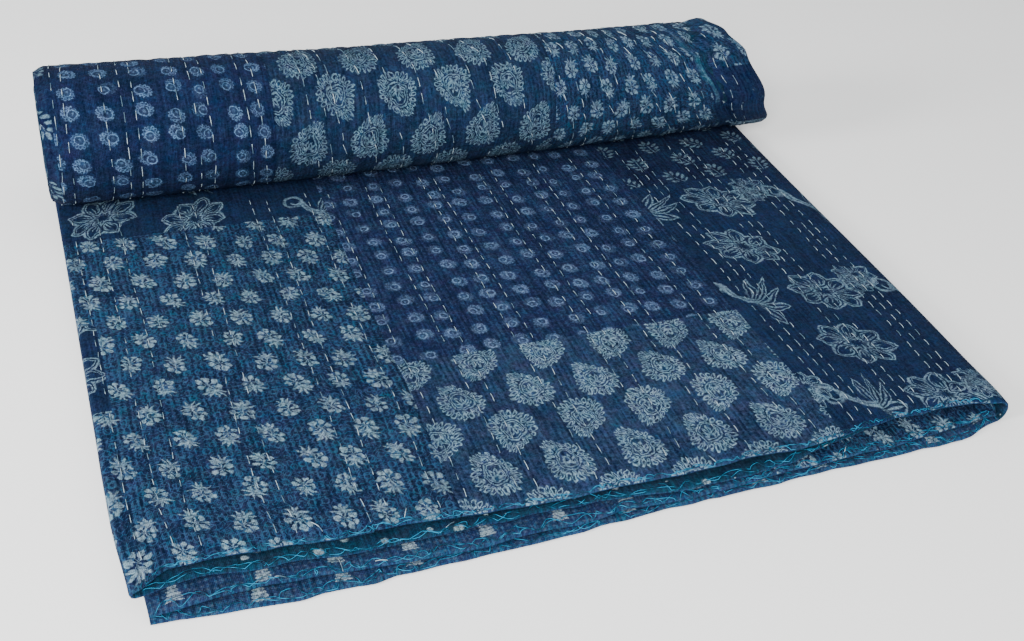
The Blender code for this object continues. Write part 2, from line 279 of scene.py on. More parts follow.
def between_rows(rows, number):
    """The rows' places, the row before a number, and the share of the way to the next one.

    Numbers between two rows crowd towards them, so that the grooves get the most points.
    """
    places = np.array([row.across for row in rows], float)
    before = np.clip(np.floor(number), 0, len(rows) - 2).astype(int)
    share = number - before
    return places, before, share - CROWDING * np.sin(2.0 * np.pi * share)


def across_rows(rows, number):
    """The place across at a row's number."""
    places, before, share = between_rows(rows, number)
    return mix(places[before], places[before + 1], share)


def by_stretch(column):
    """Each stretch, which points are on it, their numbers in it and their shares of it."""
    for stretch in STRETCHES:
        here = (column >= stretch.first) & (column <= stretch.last)
        number = column[here] - stretch.first
        yield stretch, here, number, number / (stretch.last - stretch.first)


def section(column, levels):
    """Centre line of the folded section: across, height, the way the patchwork side looks."""
    x, z = np.zeros_like(column), np.zeros_like(column)
    look_x, look_z = np.zeros_like(column), np.zeros_like(column)
    for stretch, here, number, share in by_stretch(column):
        if stretch.name in FOLDS:
            fold = FOLDS[stretch.name]
            low, high = levels[fold.start][here], levels[fold.stop][here]
            angle = np.pi * (share - 0.5) * np.sign(high - low)
            out_x, out_z = fold.side * np.cos(angle), np.sin(angle)
            x[here] = fold.turn + 0.5 * np.abs(high - low) * out_x
            z[here] = 0.5 * (low + high) + 0.5 * np.abs(high - low) * out_z
            look_x[here], look_z[here] = fold.outside * out_x, fold.outside * out_z
            continue
        if stretch.name == "bottom":
            x[here] = across_rows(OUTER_ROWS, number)
        elif stretch.name == "top":
            x[here] = across_rows(TOP_ROWS, TOP_COLUMNS - number)
        elif stretch.name == "second":
            x[here] = mix(STRIP_LEFT, INNER_FOLD, share)
        else:
            x[here] = mix(INNER_FOLD, FREE_LEFT, share)
        z[here], look_z[here] = levels[stretch.name][here], LOOKS[stretch.name]
    return x, z, look_x, look_z


def cloth_across(column):
    """Distance across the flat cloth, from the bottom layer's free hem."""
    distance = np.zeros_like(column)
    for stretch, here, number, share in by_stretch(column):
        if stretch.name == "bottom":
            distance[here] = across_rows(OUTER_ROWS, number) - FREE_LEFT
        elif stretch.name == "top":
            across = across_rows(TOP_ROWS, TOP_COLUMNS - number)
            distance[here] = stretch.cloth_first + STRIP_RIGHT - across
        else:
            distance[here] = mix(stretch.cloth_first, stretch.cloth_last, share)
    return distance


for stretch in STRETCHES:
    print(f"{stretch.name:11s} columns {stretch.first}-{stretch.last}")
print("cloth across, mm:", CLOTH_WIDTH)

# %% [markdown]
# ## What the stitches do to the surface
#
# Each row pulls the layers together, so the cloth stands up softly between two rows. The
# thread also gathers it along the row: a small dimple at every needle hole, and between
# neighbouring rows a fine ripple that crosses them. `quilting` gives that height. It is a
# geometry of ridges under a millimetre, because light from the side is what shows a kantha.

# %% Relief of the quilting
STITCH_PITCH = 15.0
WIDE_GAP = 15.0  # rows this far apart leave a ridge of full height
GROOVE = 3.4  # half the width of the groove that a row pulls in
RIPPLE, CRUMPLE, SWELL = 0.2, 0.22, 0.4


def stitch_phase(rows, seed):
    """Where the first stitch of each row starts, so that threads lie where the cloth rises."""
    return np.random.default_rng(seed).uniform(0.0, 2.0 * np.pi, len(rows))


def quilting(number, rows, along, seed):
    """Height over the rows' own level, for row numbers and distances along the cloth."""
    places, before, share = between_rows(rows, number)
    gap = places[before + 1] - places[before]
    across = places[before] + share * gap
    ridge = np.minimum(1.0, gap / WIDE_GAP)
    for distance in (share * gap, (1.0 - share) * gap):
        ridge = ridge * (1.0 - np.exp(-(distance / GROOVE) ** 2))
    phase = stitch_phase(rows, seed)
    left, right = (np.cos(2.0 * np.pi * along / STITCH_PITCH + phase[row]) for row in (before, before + 1))
    ripple = mix(left, right, ease(share))
    uneven = 0.75 + 0.35 * wander(across, along, 21.0, 34.0, seed + 1)
    crumple = wander(across, along, 6.5, 5.2, seed + 2)
    swell = wander(across, along, 90.0, 70.0, seed + 3)
    return ROW_RELIEF * ridge * uneven + RIPPLE * ripple * (0.3 + ridge) + CRUMPLE * crumple + SWELL * swell


heights = quilting(np.array([9.0, 9.5]), TOP_ROWS, np.array([50.0, 50.0]), 11)
print("height on a row and between two, mm:", np.round(heights, 2))

# %% [markdown]
# ## Where each point of the sheet lies
#
# `lay` is the rule that folds and winds. In front of the roll a point keeps its place along
# the strip and takes its layer's height. Past the line of contact the strip climbs, and its
# distance along the cloth becomes a number of turns, which follows from the spiral's length.
# All four layers squeeze to 5.4 mm there. The patchwork side of the bottom layer is what shows
# on the outside of the roll, and its right end is pushed out into a lip. Last comes the roll's
# slight slant, bow and taper. Laying the sheet by one rule keeps folds, hems and layers true
# to each other and to the solid, so no cloth simulation is used.

# %% The rule that folds and winds
LEVEL_NAMES = ("bottom", "third", "second", "top")
SEED_TOP, SEED_OUTER = 11, 31
WOUND_RADIUS = ROLL_INNER + 0.5 * TURN_THICKNESS  # to the middle of the strip's first turn
HEM_ROUND = 1.7  # the free hems thin over this width
LOOSE_REACH, DROOP_REACH = 140.0, 34.0  # how far in the front hems lie loose, and droop


def turns_at(wound):
    """Turns after a length of wound cloth, measured from the line of contact."""
    square = np.maximum(WOUND_RADIUS**2 - 2.0 * TURN_PITCH * wound / (2.0 * np.pi), 1.0)
    return (WOUND_RADIUS - np.sqrt(square)) / TURN_PITCH


def length_at(turns):
    """Length of wound cloth after a number of turns."""
    return 2.0 * np.pi * (WOUND_RADIUS * turns - 0.5 * TURN_PITCH * turns**2)


def rim(column, along):
    """Thins the sheet towards its free hems, so that they are round."""
    across = cloth_across(column)
    inward = np.minimum(np.minimum(across, CLOTH_WIDTH - across), along)
    return np.sqrt(1.0 - 0.88 * (1.0 - np.clip(inward / HEM_ROUND, 0.0, 1.0)) ** 2)


def slant(x, along):
    """The cloth was cut and sewn by hand, so rows and seams wander and lean a little."""
    lean = 7.0 * (along / CONTACT - 0.5) * np.exp(-((x + 105.0) / 160.0) ** 2)
    lean = lean + 12.0 * (0.5 - along / CONTACT) * np.exp(-((x - 185.0) / 110.0) ** 2)
    lean = np.where(along < CONTACT, lean, lean * np.clip(2.0 - along / CONTACT, -0.6, 1.0))
    sway = 2.0 * wander(x, along, 75.0, 120.0, 5) + 0.7 * wander(x, along, 30.0, 45.0, 6)
    keep = ease((x - STRIP_LEFT - 4.0) / 30.0) * ease((STRIP_RIGHT - 4.0 - x) / 30.0)
    return keep * (lean + sway)


def lay_flat(column, along, face):
    """Across, along and up for points in front of the line of contact."""
    press = ease(along / CONTACT)
    sheet = mix(SHEET_FRONT, SHEET_PRESSED, press)
    droop = np.maximum(0.0, 1.0 - along / DROOP_REACH) ** 2
    loose = np.maximum(0.0, 1.0 - along / LOOSE_REACH)
    levels = {name: np.full_like(column, LEVELS_FRONT[name]) for name in LEVEL_NAMES}
    across = section(column, levels)[0]
    for number, name in enumerate(LEVEL_NAMES):
        wave = 1.3 * wander(across, along, 38.0, 60.0, 40 + number) * loose * (name != "bottom")
        pressed = mix(LEVELS_FRONT[name], LEVELS_PRESSED[name], press)
        levels[name] = pressed - droop * HEM_DROOP[name] + wave
    x, z, look_x, look_z = section(column, levels)
    side = np.where(face > 0.5, 1.0, -1.0)
    half = 0.5 * sheet * rim(column, along)
    half = np.where((look_z > -0.99) | (face < 0.5), half, np.minimum(half, z))
    top = (column >= SPAN["top"].first) & (column <= SPAN["top"].last) & (face > 0.5)
    number = np.where(top, TOP_COLUMNS - (column - SPAN["top"].first), 0.0)
    raised = ease(along / 9.0) * (1.0 - ease((along - 400.0) / 40.0))
    height = z + side * look_z * half
    height = height + np.where(top, raised * quilting(number, TOP_ROWS, along, SEED_TOP), 0.0)
    place = x + side * look_x * half + np.where(np.abs(look_z) > 0.99, slant(x, along), 0.0)
    forward_reach = np.zeros_like(column)
    for name in LEVEL_NAMES:
        stretch = SPAN[name]
        here = (column >= stretch.first) & (column <= stretch.last)
        forward_reach[here] = read_row(HEMS[name], x[here])
    for name, fold in FOLDS.items():
        stretch = SPAN[name]
        here = (column > stretch.first) & (column < stretch.last)
        share = (column[here] - stretch.first) / (stretch.last - stretch.first)
        start, stop = (read_row(HEMS[layer], x[here]) for layer in (fold.start, fold.stop))
        forward_reach[here] = mix(start, stop, share)
    hold = np.maximum(0.0, 1.0 - along / HEM_REACH)
    scallop = 1.4 * wander(x, along * 0.0 + 50.0 * np.floor(column / 30.0), 17.0, 30.0, 60)
    forward_reach = forward_reach + scallop * np.maximum(0.0, 1.0 - along / 30.0)
    return place, along + hold * forward_reach, np.maximum(height, 0.0)


def lay_wound(column, along, face):
    """Across, along and up for points on the roll."""
    turns = turns_at(along - CONTACT)
    start = LEVELS_PRESSED["top"] + 0.5 * SHEET_PRESSED
    thickness = mix(start, TURN_THICKNESS, ease(turns / 0.35))
    outer = ROLL_INNER - TURN_PITCH * turns + thickness
    levels = {name: np.full_like(column, LEVELS_PRESSED[name]) for name in LEVEL_NAMES}
    x, level, look_x, look_z = section(column, levels)
    side = np.where(face > 0.5, 1.0, -1.0)
    half = 0.5 * SHEET_PRESSED * rim(column, along)
    depth = (level + side * look_z * half) * thickness / start
    place = x + side * look_x * half
    settled = ease(turns / SETTLING_TURNS)
    crease = mix(LIP_CREASE_HIGH, LIP_CREASE, ease((turns - 0.45) / 0.15))
    radius = outer - depth + read_row(RIGHT_EDGE, turns, 2) * ease((place - crease) / LIP_STEP)
    furrow = ease((turns - 0.38) / 0.1) * (1.0 - ease((turns - 0.86) / 0.1))
    radius = radius - 2.6 * furrow * np.exp(-((place - crease + 1.0) / 3.2) ** 2)
    outside = (column <= SPAN["bottom"].last) & (face > 0.5) & (turns < 1.0)
    raised = ease((turns - 0.0625) / 0.1) * (1.0 - ease((turns - 0.84) / 0.09))
    number = np.where(outside, column, 0.0)
    radius = radius + np.where(outside, raised * quilting(number, OUTER_ROWS, along, SEED_OUTER), 0.0)
    place = place + np.where(np.abs(look_z) > 0.99, slant(x, along), 0.0)
    place = place + read_row(RIGHT_EDGE, turns) * ease((place - 120.0) / 190.0)
    free = (column <= SPAN["bottom"].last) | (column >= SPAN["third"].first)
    drawn = np.where(free, WOUND_LEFT - FREE_LEFT, WOUND_LEFT - STRIP_LEFT + 2.9)
    uneven = 1.4 * wander(column, along, 40.0, 60.0, 71)
    place = place + (drawn + uneven) * ease((STRIP_LEFT + 110.0 - x) / 110.0) * settled
    radius = radius - 4.0 * (1.0 - ease((place - WOUND_LEFT) / 11.0)) * settled
    angle = 2.0 * np.pi * turns
    return place, CONTACT + radius * np.sin(angle), ROLL_INNER + start - radius * np.cos(angle)


def lay(column, along, face):
    """Metres in the shared frame, for column numbers, distances along and sides of the cloth."""
    column, along, face = (np.asarray(v, float) for v in (column, along, face))
    column, along, face = np.broadcast_arrays(column, along, face)
    flat = lay_flat(column, np.minimum(along, CONTACT), face)
    wound = lay_wound(column, np.maximum(along, CONTACT), face)
    x, y, z = (np.where(along < CONTACT, a, b) for a, b in zip(flat, wound))
    x = x + RIGHT_FLARE * ease((x - 120.0) / 190.0) * np.clip(y / CONTACT, 0.0, 1.0)
    spread = ease(along / 60.0) * (1.0 - ease((along - CONTACT) / 80.0))
    x = x - 3.0 * spread * ease((-120.0 - x) / 190.0)
    hold = ease((y - 230.0) / 200.0)
    size = 1.0 - ROLL_TAPER * x * hold
    behind = hold * (ROLL_SLANT * x + ROLL_BOW * (x / STRIP_RIGHT) ** 2)
    y = CONTACT + (y - CONTACT) * size + behind
    return np.stack([(x + SHIFT_X) * MM, (y + SHIFT_Y) * MM, z * size * MM], axis=-1)


corner = lay(SPAN["top"].first, 0.0, 1.0)
print("right front corner of the top layer, mm:", np.round(corner / MM, 1))

# %% [markdown]
# ## The sheet
#
# Now the flat sheet is made: one grid, then a copy of its faces pushed out for its other side,
# which closes it all round. Its x is the column number and its y the row number. It is cut
# finer only where it shows: across the top face, round the roll's outer turn, and along the
# front hems. Rows crowd at the front hem, so that the hem can be round.

# %% Cut the flat sheet
HEM_DISTANCES = [0.0, 0.35, 0.9, 1.8, 3.2, 5.2, 7.8, 11.0, 14.5, 18.0]
FLAT_DISTANCES = list(np.linspace(18.0, CONTACT, 26)[1:])
OUTER_STATIONS, INNER_STATIONS = 20, 16
WOUND_TURNS = [step / OUTER_STATIONS for step in range(1, int(1.25 * OUTER_STATIONS) + 1)]
WOUND_TURNS += list(np.arange(1.25 + 1.0 / INNER_STATIONS, TURNS + 0.001, 1.0 / INNER_STATIONS))
ALONG = np.array(HEM_DISTANCES + FLAT_DISTANCES + [CONTACT + length_at(t) for t in WOUND_TURNS])
HEM_ROW, CONTACT_ROW = len(HEM_DISTANCES) - 1, len(HEM_DISTANCES) + len(FLAT_DISTANCES) - 1
OUTER_ROW = CONTACT_ROW + OUTER_STATIONS

COLUMNS = [0.0, 0.04, 0.12] + list(range(2, SPAN["bottom"].last + 1, 2))
COLUMNS += list(range(SPAN["bottom"].last + 1, SPAN["top"].first + 1))
COLUMNS += list(range(SPAN["top"].first + 2, SPAN["top"].last + 1, 2))
COLUMNS += list(range(SPAN["top"].last + 1, SPAN["third"].last))
COLUMNS += [SPAN["third"].last - 0.03, SPAN["third"].last - 0.01, SPAN["third"].last]
COLUMNS = np.array(COLUMNS, float)

sheet_mesh = bmesh.new()
bmesh.ops.create_grid(sheet_mesh, x_segments=len(COLUMNS) - 1, y_segments=len(ALONG) - 1, size=0.5)
for vertex in sheet_mesh.verts:
    column = round((vertex.co.x + 0.5) * (len(COLUMNS) - 1))
    row = round((vertex.co.y + 0.5) * (len(ALONG) - 1))
    vertex.co = (COLUMNS[column], row, 0.0)
grown = bmesh.ops.extrude_face_region(sheet_mesh, geom=sheet_mesh.faces[:])["geom"]
bmesh.ops.translate(sheet_mesh, verts=[item for item in grown if isinstance(item, bmesh.types.BMVert)],
                    vec=(0.0, 0.0, 1.0))
print("coarse sheet:", len(sheet_mesh.faces), "faces")

# %% Cut it finer where it shows


def cut(direction, columns, rows, faces, cuts):
    """Cuts the sheet's edges that run across (0) or along (1) inside a window."""
    chosen = []
    for edge in sheet_mesh.edges:
        a, b = edge.verts[0].co, edge.verts[1].co
        if abs(a[direction] - b[direction]) < 1e-4 or abs(a.z - b.z) > 0.5:
            continue
        inside = min(a.x, b.x) > columns[0] - 1e-3 and max(a.x, b.x) < columns[1] + 1e-3
        inside = inside and min(a.y, b.y) > rows[0] - 1e-3 and max(a.y, b.y) < rows[1] + 1e-3
        if inside and round(a.z) in faces:
            chosen.append(edge)
    bmesh.ops.subdivide_edges(sheet_mesh, edges=chosen, cuts=cuts, use_grid_fill=True)


BOTTOM, TOP, SECOND, THIRD = (SPAN[name] for name in ("bottom", "top", "second", "third"))
BOTH_SIDES, PATCHWORK_SIDE, BACKING_SIDE = (0, 1), (1,), (0,)
HEM_ROWS, OUTER_TURN_ROWS = (0, HEM_ROW), (CONTACT_ROW, OUTER_ROW)
for window in (
    (0, (TOP.first, TOP.last), HEM_ROWS, BOTH_SIDES, 9),
    (0, (TOP.first, TOP.last), (HEM_ROW + 1, CONTACT_ROW), PATCHWORK_SIDE, 9),
    (0, (2, BOTTOM.last), HEM_ROWS, BOTH_SIDES, 4),
    (0, (SECOND.first, THIRD.last - 1), HEM_ROWS, BOTH_SIDES, 5),
    (0, (0.12, BOTTOM.last), OUTER_TURN_ROWS, PATCHWORK_SIDE, 9),
    (1, (BOTTOM.last, TOP.last + 4), (HEM_ROW, CONTACT_ROW), PATCHWORK_SIDE, 3),
    (1, (0, BOTTOM.last + 6), OUTER_TURN_ROWS, PATCHWORK_SIDE, 4),
    (0, (BOTTOM.last - 8, BOTTOM.last), OUTER_TURN_ROWS, BACKING_SIDE, 5),
    (0, (THIRD.first, THIRD.first + 2), OUTER_TURN_ROWS, BOTH_SIDES, 5),
    (0, (SECOND.last - 2, SECOND.last), OUTER_TURN_ROWS, BOTH_SIDES, 5),
):
    cut(*window)
bmesh.ops.recalc_face_normals(sheet_mesh, faces=sheet_mesh.faces)
print("cut sheet:", len(sheet_mesh.faces), "faces,",
      sum(len(face.verts) - 2 for face in sheet_mesh.faces), "triangles")

# %% [markdown]
# ## The patches
#
# The patchwork side is pieced from block-printed cottons. The table gives each patch's place on
# the flat cloth and its print. A patch lower in the table lies over the ones above it, and what
# none of them covers is the combed border. The backing is a plainer dark cotton, and the front
# hem of the bottom layer turns the combed border over to that side.

# %% Which print each face has
PRINTS = ("scattered_flowers", "small_flowers", "ringed_dots", "faded_dots", "paisley",
          "turned_paisley", "lotus_scrolls", "lotus_corner", "sprigs", "combed_border", "backing",
          "plain", "turned_edge")
Patch = namedtuple("Patch", "cloth_from cloth_to along_from along_to print")
FAR = 3000.0  # beyond the cloth's far end
TURNED_HEM = 11.0
PATCHES = [Patch(*row) for row in (
    (0, 200, 0, 250, "paisley"),
    (200, 454, 0, 475, "scattered_flowers"),
    (0, 200, 250, 475, "lotus_scrolls"),
    (454, 600, 0, 475, "ringed_dots"),
    (600, 854, 0, FAR, "lotus_scrolls"),
    (600, 854, 366.2, 475, "sprigs"),
    (854, 1154, 0, 165, "paisley"),
    (854, 1154, 165, 475, "faded_dots"),
    (1154, 1420, 0, FAR, "scattered_flowers"),
    (1154, 1420, 399, 475, "lotus_corner"),
    (1366, 1400, 165, 275, "lotus_scrolls"),
    (0, 175, 475, FAR, "ringed_dots"),
    (175, 454, 475, FAR, "turned_paisley"),
    (454, 622, 475, FAR, "small_flowers"),
    (622, 700, 475, 708, "small_flowers"),
    (622, 700, 708, FAR, "plain"),
    (622, 700, 775, FAR, "lotus_scrolls"),
    (623.5, 627, 655, 745, "turned_edge"),
    (621.5, 627, 672, 722, "turned_edge"),
    (854, 1154, 475, FAR, "paisley"),
    (0, 9, 475, FAR, "sprigs"),
    (2062, 2290, 0, 250, "scattered_flowers"),
)]


def print_at(cloth, along, face):
    """Number of the print at a place on the flat cloth, on its patchwork side or its back."""
    if face < 0.5:
        turned_hem = cloth < BOTTOM.cloth_last and along < TURNED_HEM
        return PRINTS.index("combed_border" if turned_hem else "backing")
    found = "combed_border"
    for patch in PATCHES:
        if patch.cloth_from < cloth < patch.cloth_to and patch.along_from < along < patch.along_to:
            found = patch.print
    return PRINTS.index(found)


print(len(PATCHES), "patches in", len(PRINTS), "prints")

# %% [markdown]
# The mesh is now carried to its place. While it is still flat, each face takes its print, and
# each point keeps its place on the flat cloth, in millimetres, as its UV. The prints read that
# UV, so they follow every fold. A second attribute keeps how proud the quilting stands. With
# it the shader makes the dye paler on the ridges, partly as wear and partly as painted light,
# and darker in the grooves between rows, with weaker ink there, as painted shade. The cuts
# leave the faces in another order each time, so they are first sorted by their points' numbers.

# %% Lay the sheet in its place
sheet_mesh.verts.index_update()
in_order = sorted(sheet_mesh.faces, key=lambda face: [vertex.index for vertex in face.verts])
for rank, face in enumerate(in_order):
    face.index = rank
sheet_mesh.faces.sort()
flat = np.array([vertex.co for vertex in sheet_mesh.verts])
columns, sides = flat[:, 0], flat[:, 2]
along = np.interp(flat[:, 1], np.arange(len(ALONG)), ALONG)
cloth = cloth_across(columns)

quilt_data = bpy.data.meshes.new("quilt_cloth")
for face in sheet_mesh.faces:
    middle = face.calc_center_median()
    index = np.array([vertex.index for vertex in face.verts])
    on_patchwork = 1.0 if middle.z > 0.25 else 0.0
    face.material_index = print_at(cloth[index].mean(), along[index].mean(), on_patchwork)
    face.smooth = True
sheet_mesh.to_mesh(quilt_data)
sheet_mesh.free()

top_here = (columns >= TOP.first) & (columns <= TOP.last) & (along < CONTACT)
outer_here = (columns <= BOTTOM.last) & (along >= CONTACT)
proud = np.full(len(flat), 0.4)
top_numbers = TOP_COLUMNS - (columns[top_here] - TOP.first)
proud[top_here] = quilting(top_numbers, TOP_ROWS, along[top_here], SEED_TOP)
proud[outer_here] = quilting(columns[outer_here], OUTER_ROWS, along[outer_here], SEED_OUTER)
quilt_data.vertices.foreach_set("co", lay(columns, along, sides).ravel())
# The quilting's height: wear on the ridges, and painted light on the ridges and painted shade in the
# grooves.
wear_and_groove_shade = quilt_data.attributes.new("wear_and_groove_shade", "FLOAT", "POINT")
wear_and_groove_shade.data.foreach_set("value", np.clip(proud / 1.2, 0.0, 1.0))

uv = quilt_data.uv_layers.new(name="cloth_mm")
corners = np.zeros(len(quilt_data.loops), np.int32)
quilt_data.loops.foreach_get("vertex_index", corners)
uv.data.foreach_set("uv", np.stack([cloth[corners], along[corners]], axis=-1).ravel())
quilt_data.update()

quilt_cloth = in_scene("quilt_cloth", quilt_data)
body = bmesh.new()
body.from_mesh(quilt_data)
if body.calc_volume(signed=True) < 0.0:
    bmesh.ops.reverse_faces(body, faces=body.faces)
print("cloth volume, cm3:", round(abs(body.calc_volume(signed=True)) * 1e6),
      " open edges:", sum(len(edge.link_faces) != 2 for edge in body.edges))
body.to_mesh(quilt_data)
body.free()

# %% [markdown]
# ## Threads
#
# A thread is a curve with a round bevel: one short spline for each stitch. Its ends dip into
# the cloth and its middle stands a little proud, as a pulled stitch does. The helper finds a
# point on the cloth and the way out of it there, from three nearby points of the same rule
# that laid the cloth, so the threads always sit on it.

# %% Helpers for threads
STITCH_SHARES = np.array([-0.5, -0.36, 0.0, 0.36, 0.5])  # of its length, from its middle
STITCH_LIFT = np.array([-0.35, 0.28, 0.5, 0.28, -0.35])
MISSED_STITCHES = 0.07
LEAN_FROM = 700.0  # distance along the cloth at which a leaning row keeps its place


def on_cloth(column, along, face, lift):
    """Points on a side of the cloth, raised off it by lift millimetres."""
    column, along = np.asarray(column, float), np.asarray(along, float)
    here = lay(column, along, face)
    step = np.where(column < BOTTOM.last, 0.05, -0.05)
    across = lay(column + step, along, face) - here
    onward = lay(column, along + 0.5, face) - here
    out = np.cross(across, onward)
    out /= np.maximum(np.linalg.norm(out, axis=-1, keepdims=True), 1e-12)
    inside = lay(column, along, 1.0 - face) - here
    out *= np.where((out * inside).sum(axis=-1, keepdims=True) > 0.0, -1.0, 1.0)
    return here + out * (np.asarray(lift) * MM)[..., None]


def threads(name, strands, radius):
    """A curve object with one spline for each strand of points, tapered at its ends."""
    data = bpy.data.curves.new(name, "CURVE")
    data.dimensions = "3D"
    data.bevel_depth = radius * MM
    data.bevel_resolution = 1
    data.use_fill_caps = True
    for points in strands:
        spline = data.splines.new("POLY")
        spline.points.add(len(points) - 1)
        flat_points = np.concatenate([points, np.ones((len(points), 1))], axis=1)
        spline.points.foreach_set("co", flat_points.ravel())
        spline.points[0].radius = spline.points[-1].radius = 0.6
    return in_scene(name, data)


def running_stitches(rows, first_column, reverse, start, stop, seed, leans=None):
    """Strands for the white rows, each stitch lying where the cloth's ripple is high."""
    strands, chance = [], np.random.default_rng(seed + 100)
    phase = stitch_phase(rows, seed)
    for number, row in enumerate(rows):
        if row.kind != "w":
            continue
        column = first_column + (len(rows) - 1 - number if reverse else number)
        crest = -phase[number] / (2.0 * np.pi) * STITCH_PITCH
        crest += STITCH_PITCH * np.ceil((start - crest) / STITCH_PITCH)
        while crest < stop:
            length = chance.uniform(6.5, 11.5)
            places = crest + chance.uniform(-1.8, 1.8) + STITCH_SHARES * length
            tilt = chance.uniform(-0.05, 0.05) + 2.0 * chance.uniform(-0.04, 0.04) * STITCH_SHARES
            if leans is not None:
                tilt = tilt + leans[number] * (places - LEAN_FROM)
            if chance.uniform() > MISSED_STITCHES:
                strands.append(on_cloth(column + tilt, places, 1.0, STITCH_LIFT))
            crest += STITCH_PITCH
    return strands


strand = on_cloth(TOP.first + 8.0, np.array([100.0, 105.0]), 1.0, [0.0, 0.5])
print("a point on the top face, mm:", np.round(strand / MM, 1)[1])

# %% [markdown]
# Here and there a white thread has come to its end near a hem and hangs free. Each is listed by
# its layer, the side of the cloth it is on, its place across, how far in from the hem its middle
# lies, its length, and how far it runs aslant. All lengths are in millimetres.

# %% Loose white ends
LooseEnd = namedtuple("LooseEnd", "layer face x inwards length aslant")
LOOSE_ENDS = [LooseEnd(*row) for row in (
    ("top", 1.0, -231.0, 11.0, 9.0, 5.0),
    ("top", 1.0, -172.0, 8.0, 8.0, -2.0),
    ("top", 1.0, 62.0, 6.0, 7.0, 3.0),
    ("top", 1.0, 241.0, 12.0, 11.0, 4.0),
    ("second", 0.0, -143.0, 5.0, 3.0, 7.0),
    ("second", 0.0, -48.0, 7.0, 4.0, 6.0),
    ("third", 1.0, -223.0, 4.0, 12.0, 0.5),
    ("third", 1.0, -196.0, 2.5, 1.0, 9.0),
    ("third", 1.0, -262.0, 3.0, 1.5, 7.0),
    ("third", 1.0, 175.0, 6.0, 5.0, -5.0),
)]


def loose_ends(ends):
    """Short strands on the listed places near the hems."""
    strands = []
    for end in ends:
        stretch = SPAN[end.layer]
        columns = np.linspace(stretch.first + 1.0, stretch.last - 1.0, 400)
        across = on_cloth(columns, np.full(len(columns), end.inwards), end.face, 0.0)[:, 0] / MM
        column = columns[np.argmin(np.abs(across - end.x))]
        per_mm = (len(columns) - 1.0) / abs(across[-1] - across[0]) * (columns[1] - columns[0])
        shares = np.linspace(-0.5, 0.5, 7)
        along = np.maximum(end.inwards + shares * end.length, 0.3)
        lift = 0.4 + 0.9 * np.cos(np.pi * shares)
        strands.append(on_cloth(column + shares * end.aslant * per_mm, along, end.face, lift))
    return strands


print(len(LOOSE_ENDS), "loose ends")

# %% [markdown]
# The roll was wound a little askew, so the rows of white stitches on it lean, and more towards
# its right end. `LEANS` gives each row's lean, in columns for each millimetre along the cloth.

# %% The white running stitches
top_strands = running_stitches(TOP_ROWS, TOP.first, True, 9.0, 436.0, SEED_TOP)
LEANS = 0.001 * np.interp(np.arange(len(OUTER_ROWS)), (0, 7, 19, 38, 43), (-5.0, 0.0, 12.0, 14.0, 2.0))
roll_strands = running_stitches(OUTER_ROWS, BOTTOM.first, False, CONTACT + 30.0, CONTACT + 330.0,
                                SEED_OUTER, LEANS)
top_strands += loose_ends(LOOSE_ENDS)
top_stitches = threads("running_stitches_top", top_strands, 0.25)
roll_stitches = threads("running_stitches_roll", roll_strands, 0.27)
print(len(top_strands), "stitches on the top face and", len(roll_strands), "on the roll")

# %% [markdown]
# ## The hems' stitching
#
# All four front hems are closed by hand with a bright blue thread, in slack oversewing that
# reaches about 6 mm in from the edge. Each layer is sewn separately and has been gone over
# more than once, so two uneven strands follow each hem's waves.

# %% Hem stitching


def hem_overcast(stretch, face, pitch, reach, seed):
    """Slack strands that wander to and fro between the hem's edge and a line inside it."""
    chance = np.random.default_rng(seed)
    strands = []
    width = stretch.cloth_last - stretch.cloth_first
    per_mm = (stretch.last - stretch.first) / width
    for _ in range(2):
        place, inner, places, distances = chance.uniform(3.0, 6.0), True, [], []
        while place < width - 4.0:
            places.append(place)
            distances.append(reach * chance.uniform(0.45, 1.2) if inner else chance.uniform(0.2, 1.2))
            inner = not inner if chance.uniform() < 0.8 else inner
            place += pitch * chance.uniform(0.35, 1.3)
        keys = np.arange(len(places))
        fine = np.linspace(0, len(keys) - 1, 5 * len(keys) - 4)
        share = fine - np.floor(fine)
        slack, bow = (np.repeat(chance.uniform(-most, most, len(keys)), 5)[:len(fine)]
                      for most in (0.3, 1.1))
        arch = np.sin(np.pi * share)
        place = np.interp(fine, keys, places) + slack * pitch * arch
        distance = np.interp(np.floor(fine) + ease(share), keys, distances) + bow * arch
        lift = 0.2 + (0.25 + 0.2 * np.abs(bow)) * arch
        strands.append(on_cloth(stretch.first + place * per_mm, np.maximum(distance, 0.2), face, lift))
    return strands


hem_strands = []
for hem in ((TOP, 1.0, 7.0, 3.6, 201), (SECOND, 0.0, 11.0, 5.5, 202), (THIRD, 1.0, 12.0, 6.0, 203),
            (BOTTOM, 0.0, 13.0, 6.0, 204)):
    hem_strands += hem_overcast(*hem)
hem_stitching = threads("hem_stitching", hem_strands, 0.26)
print(len(hem_strands), "hem strands")

# %% [markdown]
# ## Colours and nodes
#
# Colours are written as the sRGB hex values a designer would pick, and one function turns them
# into the linear values that the shader works with. One more function adds a node: its kind,
# the links or values of its inputs in order, and its settings.

# %% Helpers for materials


def linear(hex_colour):
    """An sRGB hex colour as linear RGBA."""
    parts = [int(hex_colour[i:i + 2], 16) / 255.0 for i in (1, 3, 5)]
    parts = [p / 12.92 if p <= 0.04045 else ((p + 0.055) / 1.055) ** 2.4 for p in parts]
    return (*parts, 1.0)


